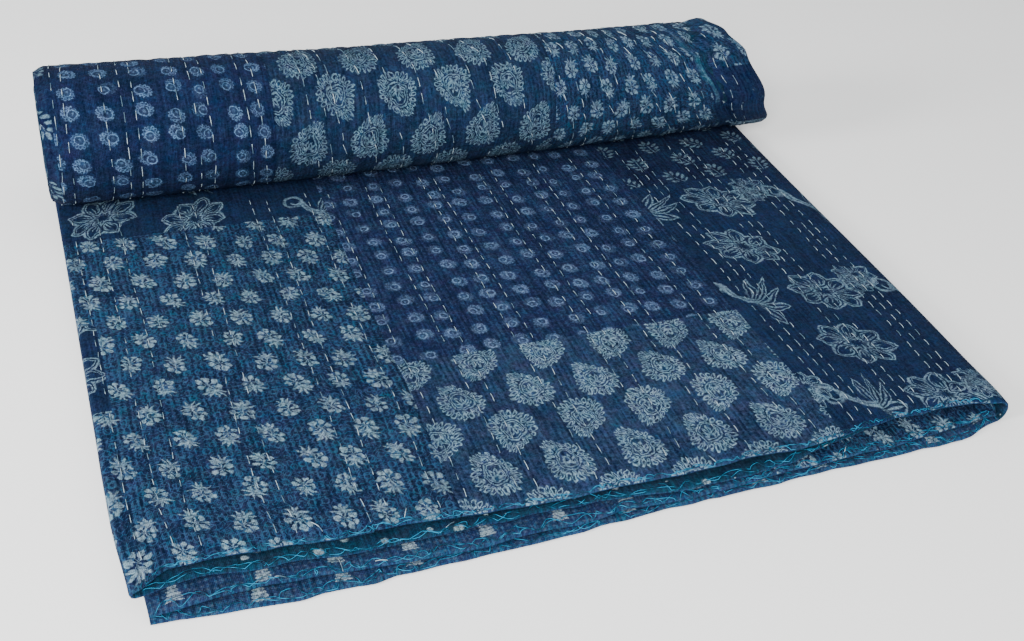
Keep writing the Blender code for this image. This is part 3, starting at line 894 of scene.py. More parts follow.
def add(tree, kind, *inputs, **settings):
    """Adds a node. "Math:ADD" also sets its operation; an input is a socket, a value or None."""
    kind, _, operation = kind.partition(":")
    node = tree.nodes.new("ShaderNode" + kind)
    if operation:
        node.operation = operation
    named = {key: value for key, value in settings.items() if not hasattr(node, key)}
    for key, value in settings.items():
        if key not in named:
            setattr(node, key, value)
    sockets = [socket for socket in node.inputs if socket.enabled]
    wanted = list(zip(sockets, inputs))
    wanted += [(node.inputs[key.replace("_", " ")], value) for key, value in named.items()]
    for socket, value in wanted:
        if value is None:
            continue
        if isinstance(value, bpy.types.Node):
            value = value.outputs[0]
        if isinstance(value, bpy.types.NodeSocket):
            tree.links.new(value, socket)
        else:
            socket.default_value = value
    return node


print("indigo in linear light:", [round(v, 4) for v in linear("#1c4b7d")])

# %% [markdown]
# ## Drawing a motif with nodes
#
# A block print repeats one motif on a lattice. `scatter` divides the cloth into cells, shifts
# every other row by half a cell, and gives the place inside the cell in millimetres. A random
# nudge for each cell stands for the printer's hand. `petals` folds the angle round a centre
# into equal sectors and measures a shape in each: an oval, a pointed lens, or a fan that widens
# outwards. The result is 1 on the petal's edge, less inside and more outside. `inside` and
# `outline` turn such a distance into ink. `aslant` leans a whole lattice, as a hand
# prints it, and `wobble` bends what is drawn by a smooth noise.

# %% Helpers for motifs
Cell = namedtuple("Cell", "place chance odd")


def centred(tree, noise, reach):
    """Turns a noise colour, from 0 to 1, into a shift of up to half the reach each way."""
    low = -0.5 * reach
    return add(tree, "VectorMath:MULTIPLY_ADD", noise, (reach, reach, 0.0), (low, low, 0.0))


def wobble(tree, place, scale, reach, detail=1.0):
    """A smooth shift that bends what is drawn."""
    noise = add(tree, "TexNoise", place, Scale=scale, Detail=detail)
    return centred(tree, noise.outputs["Color"], reach)


def scatter(tree, place, width, height, shift=0.5, nudge=2.0):
    """The place inside its cell, with the cell's random colour and whether its row is odd."""
    cell = (width, height, 1.0)
    grid = add(tree, "VectorMath:DIVIDE", place, cell)
    row = add(tree, "Math:FLOOR", add(tree, "SeparateXYZ", grid).outputs["Y"])
    odd = add(tree, "Math:FLOORED_MODULO", row, 2.0)
    aside = add(tree, "CombineXYZ", add(tree, "Math:MULTIPLY", odd, shift))
    grid = add(tree, "VectorMath:ADD", grid, aside)
    corner = add(tree, "VectorMath:FLOOR", grid)
    chance = add(tree, "TexWhiteNoise", corner, noise_dimensions="3D").outputs["Color"]
    inner = add(tree, "VectorMath:SUBTRACT", grid, corner)
    inner = add(tree, "VectorMath:SUBTRACT", inner, (0.5, 0.5, 0.0))
    inner = add(tree, "VectorMath:MULTIPLY", inner, cell)
    return Cell(add(tree, "VectorMath:ADD", inner, centred(tree, chance, nudge)), chance, odd)


def aslant(tree, place, skew, tilt, start):
    """The place in a block printer's grid whose columns and rows both lean a little."""
    x, y, _ = add(tree, "SeparateXYZ", place).outputs
    across = add(tree, "Math:MULTIPLY_ADD", y, -skew, x)
    along = add(tree, "Math:MULTIPLY_ADD", x, -tilt, y)
    return add(tree, "VectorMath:ADD", add(tree, "CombineXYZ", across, along), (*start, 0.0))


def ellipse(tree, place, centre, size):
    """1 on the edge of an ellipse, less inside."""
    moved = add(tree, "VectorMath:SUBTRACT", place, (*centre, 0.0))
    moved = add(tree, "VectorMath:DIVIDE", moved, (*size, 1.0))
    return add(tree, "VectorMath:LENGTH", moved).outputs["Value"]


def petals(tree, place, count, reach, length, width, turn=0.0, shape="oval"):
    """1 on the edges of petals round a centre, less inside them: an oval, a lens or a fan."""
    x, y, _ = add(tree, "SeparateXYZ", place).outputs
    angle = add(tree, "Math:ARCTAN2", y, x)
    sector = 2.0 * math.pi / count
    angle = add(tree, "Math:MULTIPLY_ADD", angle, 1.0 / sector, turn)
    angle = add(tree, "Math:SUBTRACT", add(tree, "Math:FRACT", angle), 0.5)
    angle = add(tree, "Math:MULTIPLY", angle, sector)
    radius = add(tree, "VectorMath:LENGTH", place).outputs["Value"]
    if shape == "fan":
        side = add(tree, "Math:MULTIPLY", angle, reach)
        return ellipse(tree, add(tree, "CombineXYZ", radius, side), (reach, 0.0), (length, width))
    out = add(tree, "Math:MULTIPLY", radius, add(tree, "Math:COSINE", angle))
    side = add(tree, "Math:MULTIPLY", radius, add(tree, "Math:SINE", angle))
    if shape == "oval":
        return ellipse(tree, add(tree, "CombineXYZ", out, side), (reach, 0.0), (length, width))
    out = add(tree, "Math:MULTIPLY_ADD", out, 1.0 / length, -reach / length)
    out = add(tree, "Math:MULTIPLY", out, out)
    return add(tree, "Math:MULTIPLY_ADD", add(tree, "Math:ABSOLUTE", side), 1.0 / width, out)


def inside(tree, distance, soft=0.12):
    """Ink where a distance is below 1."""
    return add(tree, "MapRange", distance, 1.0 + soft, 1.0 - soft)


def outline(tree, distance, at=1.0, half=0.1):
    """Ink in a line where a distance is about `at`."""
    away = add(tree, "Math:ABSOLUTE", add(tree, "Math:SUBTRACT", distance, at))
    return add(tree, "MapRange", away, half, half * 0.45)


def either(tree, *inks):
    """Ink where any of them has ink."""
    return reduce(lambda a, b: add(tree, "Math:MAXIMUM", a, b), inks)


def both(tree, *inks):
    """Ink where all of them have ink."""
    return reduce(lambda a, b: add(tree, "Math:MULTIPLY", a, b), inks)


def height_mask(tree, place, low, high, axis="Y"):
    """0 below low and 1 above high, or the other way round if low is the greater."""
    height = add(tree, "SeparateXYZ", place).outputs[axis]
    return add(tree, "MapRange", height, low, high)


print("motif helpers ready")

# %% [markdown]
# ## The prints
#
# Each print gets its own short function that returns how much pale ink there is, from 0 to 1.
# Where a lattice leans, its spacing, lean and start were measured on the cloth. The commonest
# motif is a flower: a horseshoe of fat petals round a dark heart at one end and a burst of thin
# rays at the other, turned over in every other row.

# %% Flowers


def flowers(tree, place, width=30.6, height=29.3, size=1.0):
    """Seven fat petals with ribs round one end, and nine thin rays at the other."""
    cell = scatter(tree, place, width, height, nudge=4.5)
    rarity, tilt, growth = add(tree, "SeparateXYZ", cell.chance).outputs
    rare = add(tree, "Math:LESS_THAN", rarity, 0.15)
    way = add(tree, "Math:ABSOLUTE", add(tree, "Math:SUBTRACT", cell.odd, rare))
    grow = add(tree, "MapRange", growth, 0.0, 1.0, 0.98 / size, 1.22 / size)
    flip = both(tree, grow, add(tree, "Math:MULTIPLY_ADD", way, 2.0, -1.0))
    lean = add(tree, "Math:MULTIPLY_ADD", tilt, 0.7, -0.35)
    turned = add(tree, "VectorMath:ADD", cell.place, wobble(tree, place, 0.16, 6.0))
    turned = add(tree, "VectorMath:MULTIPLY", turned, add(tree, "CombineXYZ", grow, flip))
    turned = add(tree, "VectorRotate", turned, rotation_type="Z_AXIS", Angle=lean)
    head = add(tree, "VectorMath:MULTIPLY_ADD", turned, (1.0, 0.9, 0.0), (0.0, -2.7, 0.0))
    fat = inside(tree, petals(tree, head, 7, 6.3, 2.5, 2.15, 0.5, "fan"), 0.14)
    ribs = inside(tree, petals(tree, head, 7, 3.2, 2.6, 0.32, 0.5, "lens"), 0.5)
    fat = both(tree, either(tree, fat, ribs), height_mask(tree, turned, -3.4, -1.6))
    tail = add(tree, "VectorMath:ADD", turned, (0.0, 4.0, 0.0))
    thin = inside(tree, petals(tree, tail, 9, 4.8, 4.3, 1.0, 0.5, "lens"), 0.35)
    core = inside(tree, ellipse(tree, tail, (0.0, 0.0), (1.9, 1.6)), 0.3)
    thin = both(tree, either(tree, thin, core), height_mask(tree, turned, -1.8, -3.6))
    stem = inside(tree, ellipse(tree, turned, (0.0, 0.6), (0.45, 6.5)), 0.35)
    return either(tree, fat, thin, stem)


def scattered_flowers(tree, place):
    return flowers(tree, aslant(tree, place, 0.089, 0.184, (5.1, -9.5)))


def small_flowers(tree, place):
    return flowers(tree, place, 25.0, 22.0, 0.82)


def sprigs(tree, place):
    """A small leaning spray: pairs of short fat leaves along a stem, with three at its tip."""
    cell = scatter(tree, place, 46.0, 30.0, nudge=5.0)
    lean = add(tree, "Math:MULTIPLY_ADD", add(tree, "SeparateXYZ", cell.chance).outputs["Y"], 1.0, -0.2)
    turned = add(tree, "VectorRotate", cell.place, rotation_type="Z_AXIS", Angle=lean)
    x, y, _ = add(tree, "SeparateXYZ", turned).outputs
    folded = add(tree, "CombineXYZ", add(tree, "Math:ABSOLUTE", x), y)
    inks = [inside(tree, ellipse(tree, turned, (0.0, -3.0), (0.5, 9.5)), 0.35)]
    for spot, tilt, size in (((0.0, 10.6, 0.0), 0.0, (1.7, 3.4)), ((4.4, 8.0, 0.0), 0.7, (1.6, 3.6)),
                             ((6.6, 2.6, 0.0), 1.1, (1.6, 4.0)), ((6.0, -3.4, 0.0), 1.0, (1.6, 3.8)),
                             ((4.4, -8.8, 0.0), 1.2, (1.2, 2.9))):
        leaf = add(tree, "VectorMath:SUBTRACT", folded, spot)
        leaf = add(tree, "VectorRotate", leaf, rotation_type="Z_AXIS", Angle=tilt)
        inks.append(inside(tree, ellipse(tree, leaf, (0.0, 0.0), size), 0.2))
    return either(tree, *inks)


print("flower functions ready")

# %% Ringed dots


def dots(tree, cell, ring_half, beads, halo, reach=5.3):
    """A ring with a dot in it, in a crown of beads that was printed a little beside it."""
    chance = add(tree, "SeparateXYZ", cell.chance).outputs["Z"]
    disc = ellipse(tree, cell.place, (0.0, 0.0), (3.4, 3.5))
    ring = outline(tree, disc, 1.0, ring_half)
    dot = inside(tree, ellipse(tree, cell.place, (0.3, -0.6), (1.0, 1.2)), 0.5)
    fill = add(tree, "Math:MULTIPLY", inside(tree, disc, 0.1), 0.14)
    crown = add(tree, "VectorMath:ADD", cell.place, centred(tree, cell.chance, 5.6))
    bead = outline(tree, petals(tree, crown, 13, reach, 1.65, 1.1), 0.75, 0.4)
    block = inside(tree, ellipse(tree, crown, (0.0, 0.0), (reach + 1.6, reach + 1.6)), 0.2)
    block = add(tree, "Math:MULTIPLY", block, halo)
    beyond = add(tree, "Math:GREATER_THAN", disc, 1.2)
    strength = add(tree, "MapRange", chance, 0.05, 0.8, 0.3 * beads, beads)
    return either(tree, ring, add(tree, "Math:MULTIPLY", dot, 0.6), fill,
                  both(tree, either(tree, bead, block), strength, beyond))


def ringed_dots(tree, place):
    grid = aslant(tree, place, 0.081, 0.047, (-1.8, -9.7))
    return dots(tree, scatter(tree, grid, 23.1, 19.4, shift=0.0, nudge=3.0), 0.18, 0.85, 0.13, 4.6)


def faded_dots(tree, place):
    grid = aslant(tree, place, 0.013, 0.05, (12.4, -6.7))
    return dots(tree, scatter(tree, grid, 25.5, 23.9, shift=0.0, nudge=3.2), 0.28, 0.75, 0.34)


print("dots ready")

# %% [markdown]
# The paisley is a bent drop with a double outline and a spray of seeds in it, in a deep lace
# fringe. To follow it, the fringe is measured in a space where the drop is a circle: x is
# divided by a width that tapers towards the tip. On the front of the roll the cloth runs
# downwards, so the same print is turned over there.

# %% Paisley


def mango(tree, place, way):
    """One lattice of drops, with every second row left free."""
    cell = scatter(tree, place, 56.5, 79.0, shift=0.0, nudge=3.0)
    here = add(tree, "VectorMath:ADD", cell.place, wobble(tree, place, 0.11, 7.0))
    here = add(tree, "VectorMath:MULTIPLY", here, (1.06, 1.15 * way, 0.0))
    x, y, _ = add(tree, "SeparateXYZ", here).outputs
    up = add(tree, "Math:MAXIMUM", y, 0.0)
    bend = add(tree, "Math:MULTIPLY", add(tree, "Math:MULTIPLY", up, up), 0.016)
    taper = add(tree, "Math:MULTIPLY_ADD", y, -0.11, 8.9)
    wide = add(tree, "Math:DIVIDE", add(tree, "Math:SUBTRACT", x, bend), taper)
    tall = add(tree, "Math:MULTIPLY_ADD", y, 1.0 / 11.8, -0.03)
    drop = add(tree, "CombineXYZ", wide, tall)
    distance = add(tree, "VectorMath:LENGTH", drop).outputs["Value"]
    core = either(tree, outline(tree, distance, 1.02, 0.075), outline(tree, distance, 0.8, 0.06))
    foot = add(tree, "VectorMath:ADD", drop, (0.0, 0.62, 0.0))
    fan = outline(tree, petals(tree, foot, 11, 0.66, 0.4, 0.16, 0.5), 0.85, 0.4)
    fan = both(tree, fan, add(tree, "Math:LESS_THAN", distance, 0.7))
    near = outline(tree, petals(tree, drop, 17, 1.34, 0.17, 0.17, 0.5), 0.7, 0.35)
    outer = outline(tree, petals(tree, drop, 25, 1.7, 0.36, 0.17, 0.25), 0.8, 0.34)
    outer = both(tree, outer, add(tree, "Math:GREATER_THAN", distance, 1.36))
    return either(tree, core, fan, near, outer)


def paisley(tree, place, way=1.0, across=37.0):
    first = add(tree, "VectorMath:ADD", place, (across, 9.0, 0.0))
    second = add(tree, "VectorMath:ADD", place, (across + 28.2, 9.0 + 39.5, 0.0))
    return either(tree, mango(tree, first, way), mango(tree, second, -way))


def turned_paisley(tree, place):
    return paisley(tree, place, -1.0, -6.0)


print("paisley ready")

# %% [markdown]
# The boldest print has layered lotus flowers and scrolls with leaves between them. A layer of
# petals hides what is behind it, so the outer row's ink is kept only outside the inner one.
# A slow noise bends each flower, since no two on the block are the same. A scroll is put
# together from arcs: parts of circles, cut off by the side of a line.

# %% Lotus and scrolls


def lotus(tree, place):
    """Eight broad pointed petals with double outlines, set round a dark heart."""
    outer = petals(tree, place, 8, 17.5, 11.5, 8.6, 0.2, "lens")
    frill = add(tree, "Math:MULTIPLY", petals(tree, place, 24, 25.0, 8.0, 2.2, 0.2), 0.03)
    lobes = add(tree, "Math:SUBTRACT", outer, frill)
    hatch = inside(tree, petals(tree, place, 32, 13.0, 6.0, 0.5, 0.2, "lens"), 0.5)
    hatch = both(tree, hatch, add(tree, "Math:LESS_THAN", outer, 0.5))
    heart = inside(tree, petals(tree, place, 16, 5.2, 1.9, 0.4, 0.5, "lens"), 0.5)
    return either(tree, outline(tree, lobes, 0.93, 0.18), outline(tree, outer, 0.58, 0.08), hatch,
                  add(tree, "Math:MULTIPLY", heart, 0.6))


def scroll(tree, place):
    """A coil whose stem sweeps down into a spray of long bent leaves."""
    coil = ellipse(tree, place, (-15.0, 17.0), (7.8, 8.2))
    coil = both(tree, outline(tree, coil, 1.0, 0.24), height_mask(tree, place, 7.0, 11.0))
    curl = both(tree, outline(tree, ellipse(tree, place, (-13.0, 16.0), (3.6, 4.0)), 1.0, 0.3),
                height_mask(tree, place, 18.0, 15.0))
    bow = ellipse(tree, place, (9.5, 17.0), (18.5, 25.0))
    stem = either(tree, outline(tree, bow, 1.0, 0.085), outline(tree, bow, 0.85, 0.075))
    stem = both(tree, stem, height_mask(tree, place, 18.0, 15.0), height_mask(tree, place, 9.0, 6.0, "X"))
    x, y, _ = add(tree, "SeparateXYZ", place).outputs
    sag = add(tree, "Math:MULTIPLY", add(tree, "Math:MULTIPLY", x, x), 0.022)
    bent = add(tree, "CombineXYZ", add(tree, "Math:SUBTRACT", x, 3.0),
               add(tree, "Math:SUBTRACT", add(tree, "Math:ADD", y, 8.5), sag))
    spray = petals(tree, bent, 10, 15.5, 15.0, 4.2, 0.62, "lens")
    vein = petals(tree, bent, 10, 14.0, 11.0, 0.9, 0.62, "lens")
    leaves = either(tree, outline(tree, spray, 0.92, 0.2), inside(tree, vein, 0.5))
    return either(tree, coil, curl, stem, both(tree, leaves, height_mask(tree, bent, 0.0, 3.0, "X")))


def lotus_scrolls(tree, place):
    """Rows of flowers, with buds beside every other row and scrolls between."""
    moved = add(tree, "VectorMath:ADD", place, wobble(tree, place, 0.055, 8.0))
    moved = aslant(tree, moved, 0.142, 0.2, (-664.3, 175.2))
    cell = scatter(tree, moved, 150.0, 76.5, shift=-0.168, nudge=5.0)
    head = lotus(tree, add(tree, "VectorMath:MULTIPLY", cell.place, (0.92, 1.0, 0.0)))
    small = add(tree, "VectorMath:MULTIPLY_ADD", cell.place, (1.55, 1.55, 0.0), (68.0, -38.0, 0.0))
    beside = add(tree, "VectorMath:MULTIPLY_ADD", cell.place, (2.0, 2.0, 0.0), (70.0, -22.0, 0.0))
    buds = either(tree, lotus(tree, small), lotus(tree, beside))
    buds = both(tree, buds, add(tree, "Math:SUBTRACT", 1.0, cell.odd))
    between = add(tree, "VectorMath:ADD", moved, (-74.0, 44.0, 0.0))
    coil = scatter(tree, between, 150.0, 153.0, shift=0.0, nudge=6.0)
    lean = add(tree, "Math:MULTIPLY_ADD", add(tree, "SeparateXYZ", coil.chance).outputs["Z"], 0.8, -0.4)
    turned = add(tree, "VectorRotate", coil.place, rotation_type="Z_AXIS", Angle=lean)
    turned = add(tree, "VectorMath:MULTIPLY", turned, (-0.9, 0.9, 0.0))
    return either(tree, head, buds, scroll(tree, turned))


def lotus_corner(tree, place):
    """The same print, from a piece that was turned a quarter before it was sewn in."""
    x, y, _ = add(tree, "SeparateXYZ", place).outputs
    turned = add(tree, "CombineXYZ", add(tree, "Math:ADD", y, 369.8),
                 add(tree, "Math:SUBTRACT", 1595.4, x))
    left = both(tree, lotus_scrolls(tree, turned), height_mask(tree, place, 1224.0, 1227.0, "X"))
    beside = add(tree, "VectorMath:MULTIPLY_ADD", place, (-1.0, 1.0, 0.0), (1165.0, -404.0, 0.0))
    return either(tree, left, scroll(tree, beside))


print("lotus ready")

# %% Combed border and backing


def combed_border(tree, place):
    """Upright combs with stepped sides, over a field of fine commas."""
    fine = scatter(tree, place, 4.4, 3.6, nudge=1.8)
    commas = inside(tree, ellipse(tree, fine.place, (0.0, 0.0), (1.3, 0.7)), 0.5)
    commas = add(tree, "Math:MULTIPLY", commas, 0.1)
    moved = add(tree, "VectorMath:ADD", place, (9.0, 0.0, 0.0))
    cell = scatter(tree, moved, 53.0, 27.0, shift=0.3, nudge=5.0)
    x, y, _ = add(tree, "SeparateXYZ", cell.place).outputs
    teeth = add(tree, "Math:PINGPONG", y, 1.2)
    reach = add(tree, "Math:MULTIPLY_ADD", y, -0.3, 2.6)
    reach = add(tree, "Math:ADD", reach, teeth)
    away = add(tree, "Math:SUBTRACT", add(tree, "Math:ABSOLUTE", x), reach)
    comb = add(tree, "MapRange", away, 0.3, -0.3)
    upright = add(tree, "Math:LESS_THAN", add(tree, "Math:ABSOLUTE", y), 8.5)
    stripes = add(tree, "MapRange", teeth, 0.15, 0.5, 0.25, 1.0)
    stem = inside(tree, ellipse(tree, cell.place, (0.0, 0.0), (0.8, 8.0)), 0.3)
    return either(tree, commas, both(tree, comb, upright, stripes), stem)


def backing(tree, place):
    """A few pale specks, each of its own size."""
    cell = scatter(tree, place, 19.0, 11.0, nudge=12.0)
    chance = add(tree, "SeparateXYZ", cell.chance).outputs["Z"]
    size = add(tree, "Math:MULTIPLY_ADD", chance, 2.6, -0.7)
    speck = add(tree, "Math:DIVIDE", ellipse(tree, cell.place, (0.0, 0.0), (1.9, 1.3)), size)
    return both(tree, inside(tree, speck, 0.25), add(tree, "Math:GREATER_THAN", size, 0.2))


def plain(tree, place):
    """Cloth with only a few stray specks of ink."""
    cell = scatter(tree, place, 37.0, 23.0, nudge=20.0)
    return inside(tree, ellipse(tree, cell.place, (0.0, 0.0), (0.7, 0.8)), 0.4)


print("border and backing ready")

# %% [markdown]
# ## The cotton
#
# The ground is cotton muslin, plain woven, dyed in an indigo vat and block printed, then
# washed soft. That gives a matt surface with a faint sheen from its loose fibres, uneven dye in
# cloudy patches and along single thick threads, and ink that has bled a little and sits
# unevenly. Under the motifs an older, fainter print of rings and squiggles still shows through
# the dye. A thread spacing of 0.4 mm is finer than a point of the picture, so the weave is
# drawn at 1.1 mm. All scales are in millimetres of cloth, from the UV map.

# %% Block-printed cotton
WEAVE_SCALE = 0.2856  # a thread every 1.1 mm
Dye = namedtuple("Dye", "print deep middle faded ink strength ghost pleats")
DYES = [Dye(*row) for row in (
    ("scattered_flowers", "#06152a", "#19233c", "#20405b", "#6f8895", 0.97, 0.9, 0.8),
    ("small_flowers", "#07182c", "#1c2840", "#183855", "#6c8799", 0.92, 0.7, 0.6),
    ("ringed_dots", "#071227", "#141e38", "#162c4b", "#5d7b9e", 0.88, 0.3, 0.25),
    ("faded_dots", "#051228", "#161f3b", "#223855", "#6781a4", 0.8, 0.4, 0.5),
    ("paisley", "#08142a", "#1d2c44", "#283d5a", "#728e9e", 0.95, 0.4, 0.5),
    ("turned_paisley", "#081428", "#16243a", "#1c324e", "#607b8b", 0.9, 0.35, 0.35),
    ("lotus_scrolls", "#071128", "#12213a", "#14294b", "#698393", 0.95, 0.2, 0.25),
    ("lotus_corner", "#071128", "#12213a", "#14294b", "#698393", 0.95, 0.2, 0.25),
    ("sprigs", "#04091e", "#111a33", "#162d47", "#5c7483", 0.87, 0.2, 0.3),
    ("combed_border", "#091a30", "#1a2743", "#20435f", "#7c8e98", 0.95, 0.3, 0.5),
    ("backing", "#091928", "#122637", "#18384e", "#8699a1", 0.95, 0.15, 0.3),
    ("plain", "#060e27", "#15223c", "#132d4b", "#546d79", 0.7, 0.15, 0.3),
    ("turned_edge", "#10263a", "#243f55", "#46687a", "#7b8688", 0.5, 0.3, 0.3),
)]
MOTIFS = {motif.__name__: motif for motif in (
    scattered_flowers, small_flowers, ringed_dots, faded_dots, paisley, turned_paisley,
    lotus_scrolls, lotus_corner, sprigs, combed_border, backing, plain)}
MOTIFS["turned_edge"] = plain


def empty_material(name):
    material = bpy.data.materials.new(name)
    material.use_nodes = True
    material.node_tree.nodes.clear()
    return material, material.node_tree


def ghost_print(tree, place, strength):
    """Faint old rings and squiggles under the motifs."""
    cell = scatter(tree, place, 8.6, 7.6, nudge=3.0)
    there = add(tree, "Math:GREATER_THAN", add(tree, "SeparateXYZ", cell.chance).outputs["Z"], 0.35)
    ring = both(tree, outline(tree, ellipse(tree, cell.place, (0.0, 0.0), (2.4, 2.9)), 1.0, 0.3), there)
    noise = add(tree, "TexNoise", place, Scale=0.26, Detail=0.0)
    squiggle = outline(tree, noise.outputs["Fac"], 0.5, 0.055)
    return add(tree, "Math:MULTIPLY", either(tree, ring, squiggle), strength * 0.75)


def block_printed_cotton(dye):
    material, tree = empty_material("block_printed_cotton_" + dye.print)
    place = add(tree, "UVMap", uv_map="cloth_mm")
    bled = add(tree, "VectorMath:ADD", place, wobble(tree, place, 0.2, 2.2, 2.0))
    printed = add(tree, "VectorMath:ADD", bled, wobble(tree, place, 0.75, 1.5))
    ink = MOTIFS[dye.print](tree, printed)
    ghost = ghost_print(tree, printed, dye.ghost)

    cloud = add(tree, "TexNoise", place, Scale=0.03, Detail=3.0, Roughness=0.6)
    slub = add(tree, "TexNoise", add(tree, "VectorMath:MULTIPLY", place, (0.6, 0.03, 1.0)),
               Scale=1.0, Detail=2.0, Roughness=0.6)
    fleck = add(tree, "TexNoise", place, Scale=0.28, Detail=3.0, Roughness=0.7)
    speck = add(tree, "TexNoise", place, Scale=0.6, Detail=2.0, Roughness=0.6)
    # Soft bands along the rows for fine pleats: they bump the surface, and in the dye they are painted
    # shade.
    pleat_relief_and_shade = add(tree, "TexWave", place, Scale=0.068, Distortion=2.0, Detail=2.0, Detail_Scale=0.6)
    wear_and_groove_shade_here = add(tree, "Attribute", attribute_name="wear_and_groove_shade").outputs["Fac"]
    fading_and_painted_shade = -1.96  # centres the sum of what follows on the middle colour
    for noise, share in ((cloud, 0.8), (slub, 1.2), (fleck, 1.5), (speck, 1.0)):
        fading_and_painted_shade = add(tree, "Math:MULTIPLY_ADD", noise.outputs["Fac"], share, fading_and_painted_shade)
    # Paler on the ridges and darker in the grooves between rows: partly wear, partly painted light and
    # shade.
    fading_and_painted_shade = add(tree, "Math:MULTIPLY_ADD", wear_and_groove_shade_here, 0.22, fading_and_painted_shade)
    # The pleat bands darken the dye here as painted shade.
    fading_and_painted_shade = add(tree, "Math:MULTIPLY_ADD", pleat_relief_and_shade.outputs["Fac"], 0.45 * dye.pleats, fading_and_painted_shade)
    fading_and_painted_shade = add(tree, "Math:ADD", fading_and_painted_shade, add(tree, "Math:SUBTRACT", ghost, 0.28 * dye.ghost))
    rubbed_hem = height_mask(tree, place, 5.5, 1.5)
    fading_and_painted_shade = add(tree, "Math:MULTIPLY_ADD", rubbed_hem, 0.22, fading_and_painted_shade)
    ramp = add(tree, "ValToRGB", fading_and_painted_shade)
    ramp.color_ramp.elements[0].color = linear(dye.deep)
    ramp.color_ramp.elements[1].color = linear(dye.faded)
    ramp.color_ramp.elements.new(0.5).color = linear(dye.middle)

    dry = add(tree, "TexNoise", place, Scale=0.45, Detail=3.0, Roughness=0.7)
    patchy = add(tree, "MapRange", dry.outputs["Fac"], 0.38, 0.54, 0.3, 1.0)
    missed = add(tree, "TexNoise", place, Scale=0.3, Detail=1.0)
    missed = add(tree, "MapRange", missed.outputs["Fac"], 0.36, 0.45, 0.5, 1.0)
    # Weaker ink in the grooves between rows: painted shade.
    ink_groove_shade = add(tree, "MapRange", wear_and_groove_shade_here, 0.0, 0.35, 0.7, 1.0)
    covered = both(tree, ink, patchy, missed, ink_groove_shade, dye.strength)
    hue = add(tree, "TexNoise", place, Scale=0.09, Detail=3.0, Roughness=0.7)
    hue = add(tree, "VectorMath:MULTIPLY_ADD", hue.outputs["Color"], (2.6, 0.7, 0.5), (-0.25, 0.65, 0.75))
    ground = add(tree, "VectorMath:MULTIPLY", ramp.outputs["Color"], hue)
    stained = add(tree, "VectorMath:MULTIPLY_ADD", hue, (0.25, 0.25, 0.25), (0.75, 0.75, 0.75))
    stained = add(tree, "VectorMath:MULTIPLY", stained, linear(dye.ink)[:3])
    colour = add(tree, "Mix", data_type="RGBA")
    for value, socket in ((covered, 0), (ground, 6), (stained, 7)):
        tree.links.new(value.outputs[0], colour.inputs[socket])

    warp, weft = (add(tree, "TexWave", place, Scale=WEAVE_SCALE, bands_direction=way).outputs["Fac"]
                  for way in "XY")
    weave = add(tree, "Math:MULTIPLY", warp, weft)
    crease = add(tree, "TexNoise", add(tree, "VectorMath:MULTIPLY", place, (0.2, 0.3, 1.0)),
                 Scale=1.0, Detail=3.0, Roughness=0.55)
    grain = add(tree, "Math:MULTIPLY_ADD", crease.outputs["Fac"], 5.0, weave)
    grain = add(tree, "Math:MULTIPLY_ADD", pleat_relief_and_shade.outputs["Fac"], 1.6 * dye.pleats, grain)
    bump = add(tree, "Bump", Strength=0.5, Distance=0.0009, Height=grain)

    shader = add(tree, "BsdfPrincipled", Base_Color=colour.outputs[2], Normal=bump, Roughness=0.9,
                 Metallic=0.0, Specular_IOR_Level=0.07, Specular_Tint=linear("#7fb2e6"),
                 Sheen_Weight=0.012, Sheen_Roughness=0.5, Sheen_Tint=linear("#c3cdd6"))
    add(tree, "OutputMaterial", shader)
    return material


for dye in DYES:
    quilt_data.materials.append(block_printed_cotton(dye))
    print(f"{dye.print:18s} {len(quilt_data.materials[-1].node_tree.nodes)} nodes")

# %% [markdown]
# ## Thread
#
# The running stitches are undyed cotton floss, softly twisted and a little greyed by the
# indigo. The hems are sewn with a dyed cotton thread in a bright blue. Both are matt with a
# light sheen, and their twist shows as fine slanting bands. Patches of the paler colour along
# them are painted glints; on the floss they also stand for its uneven whiteness.

# %% Cotton threads


def cotton_thread(name, pale, shade):
    material, tree = empty_material(name)
    place = add(tree, "TexCoord").outputs["Object"]
    noise = add(tree, "TexNoise", place, Scale=130.0, Detail=4.0)
    # Noise mixes the dark colour with the pale one: the pale patches are painted glints.
    ramp = add(tree, "ValToRGB", noise.outputs["Fac"])
    ramp.color_ramp.elements[0].position, ramp.color_ramp.elements[1].position = 0.42, 0.6
    ramp.color_ramp.elements[0].color, ramp.color_ramp.elements[1].color = linear(shade), linear(pale)
    twist = add(tree, "TexWave", place, Scale=180.0, bands_direction="DIAGONAL")
    bump = add(tree, "Bump", Strength=0.5, Distance=0.0002, Height=twist.outputs["Fac"])
    shader = add(tree, "BsdfPrincipled", Base_Color=ramp.outputs["Color"], Normal=bump, Roughness=0.75,
                 Metallic=0.0, Specular_IOR_Level=0.15, Sheen_Weight=0.02, Sheen_Roughness=0.4)
    add(tree, "OutputMaterial", shader)
    return material
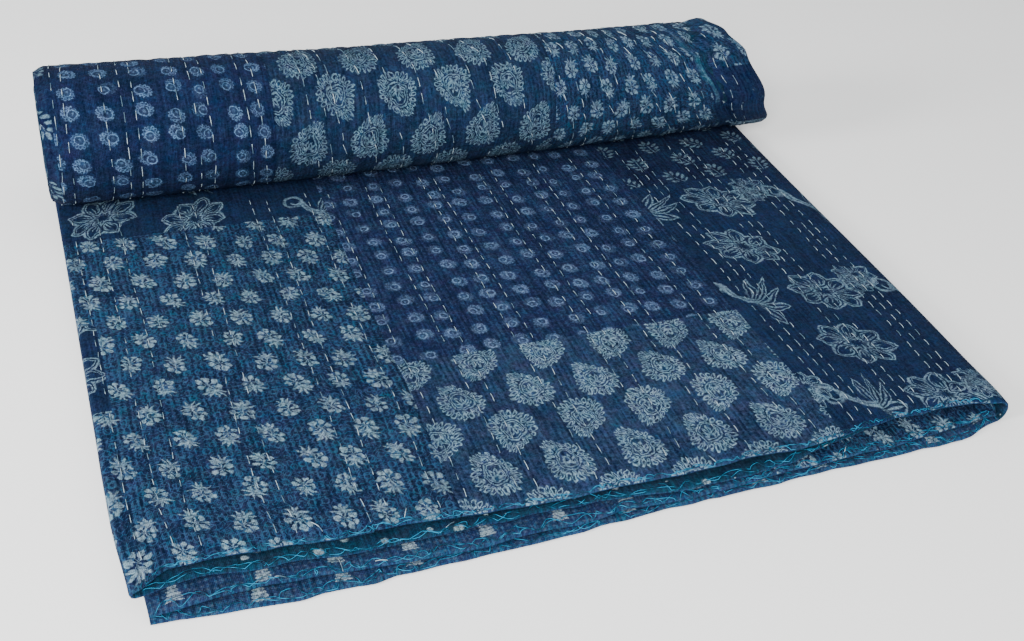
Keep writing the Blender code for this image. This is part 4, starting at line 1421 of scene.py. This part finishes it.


# The pale colour of each thread is its painted glint.
for thread, *look in ((top_stitches, "undyed_cotton_floss_greyer", "#9aaab3", "#4d6674"),
                      # The top face's floss is a slightly greyer copy of the roll's.
                      (roll_stitches, "undyed_cotton_floss", "#a3b2ba", "#4c6473"),
                      (hem_stitching, "blue_cotton_thread", "#1f7498", "#062a3e")):
    thread.data.materials.append(cotton_thread(*look))
print("thread materials:", len(bpy.data.materials))

# %% [markdown]
# ## Studio
#
# The quilt lies on a plain pale floor under two large soft lights and an even pale sky, as in a
# product photograph. The larger light stands at the front left, high up, and rakes slightly
# across the rows of stitches so that their relief shows.

# %% Floor, sky and lights
LIT_SPOT = (0.0, 0.0, 0.05)
floor_mesh = bmesh.new()
bmesh.ops.create_grid(floor_mesh, x_segments=1, y_segments=1, size=6.0)
floor_data = bpy.data.meshes.new("floor")
floor_mesh.to_mesh(floor_data)
floor_mesh.free()
floor = in_scene("floor", floor_data)
pale = bpy.data.materials.new("pale_studio_floor")
pale.use_nodes = True
paint = pale.node_tree.nodes["Principled BSDF"].inputs
paint["Base Color"].default_value, paint["Roughness"].default_value = linear("#fafaf9"), 0.9
floor_data.materials.append(pale)

world = bpy.data.worlds.new("studio_sky")
world.use_nodes = True
sky = world.node_tree.nodes["Background"].inputs
sky["Color"].default_value, sky["Strength"].default_value = linear("#f6f8fa"), 0.85
bpy.context.scene.world = world


def soft_light(name, spot, size, power):
    """A round soft light that looks at the quilt's middle."""
    data = bpy.data.lights.new(name, "AREA")
    data.shape = "DISK"
    data.size = size
    data.energy = power
    light = in_scene(name, data)
    way = Vector(LIT_SPOT) - Vector(spot)
    light.rotation_euler = way.to_track_quat("-Z", "Y").to_euler()
    light.location = spot


soft_light("key_light", (-1.2, -2.0, 1.6), 1.2, 130.0)
soft_light("side_light", (-2.3, -0.2, 0.95), 0.8, 60.0)
print("lights:", len(bpy.data.lights))

# %% [markdown]
# ## Joining the frame
#
# The cloth stands for the imported solid and every piece rides on the one body. The solid
# itself is hidden.

# %% Attach everything and finish
pieces = [quilt_cloth, top_stitches, roll_stitches, hem_stitching]
for piece in pieces:
    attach(piece, "root")
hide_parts("quilt")
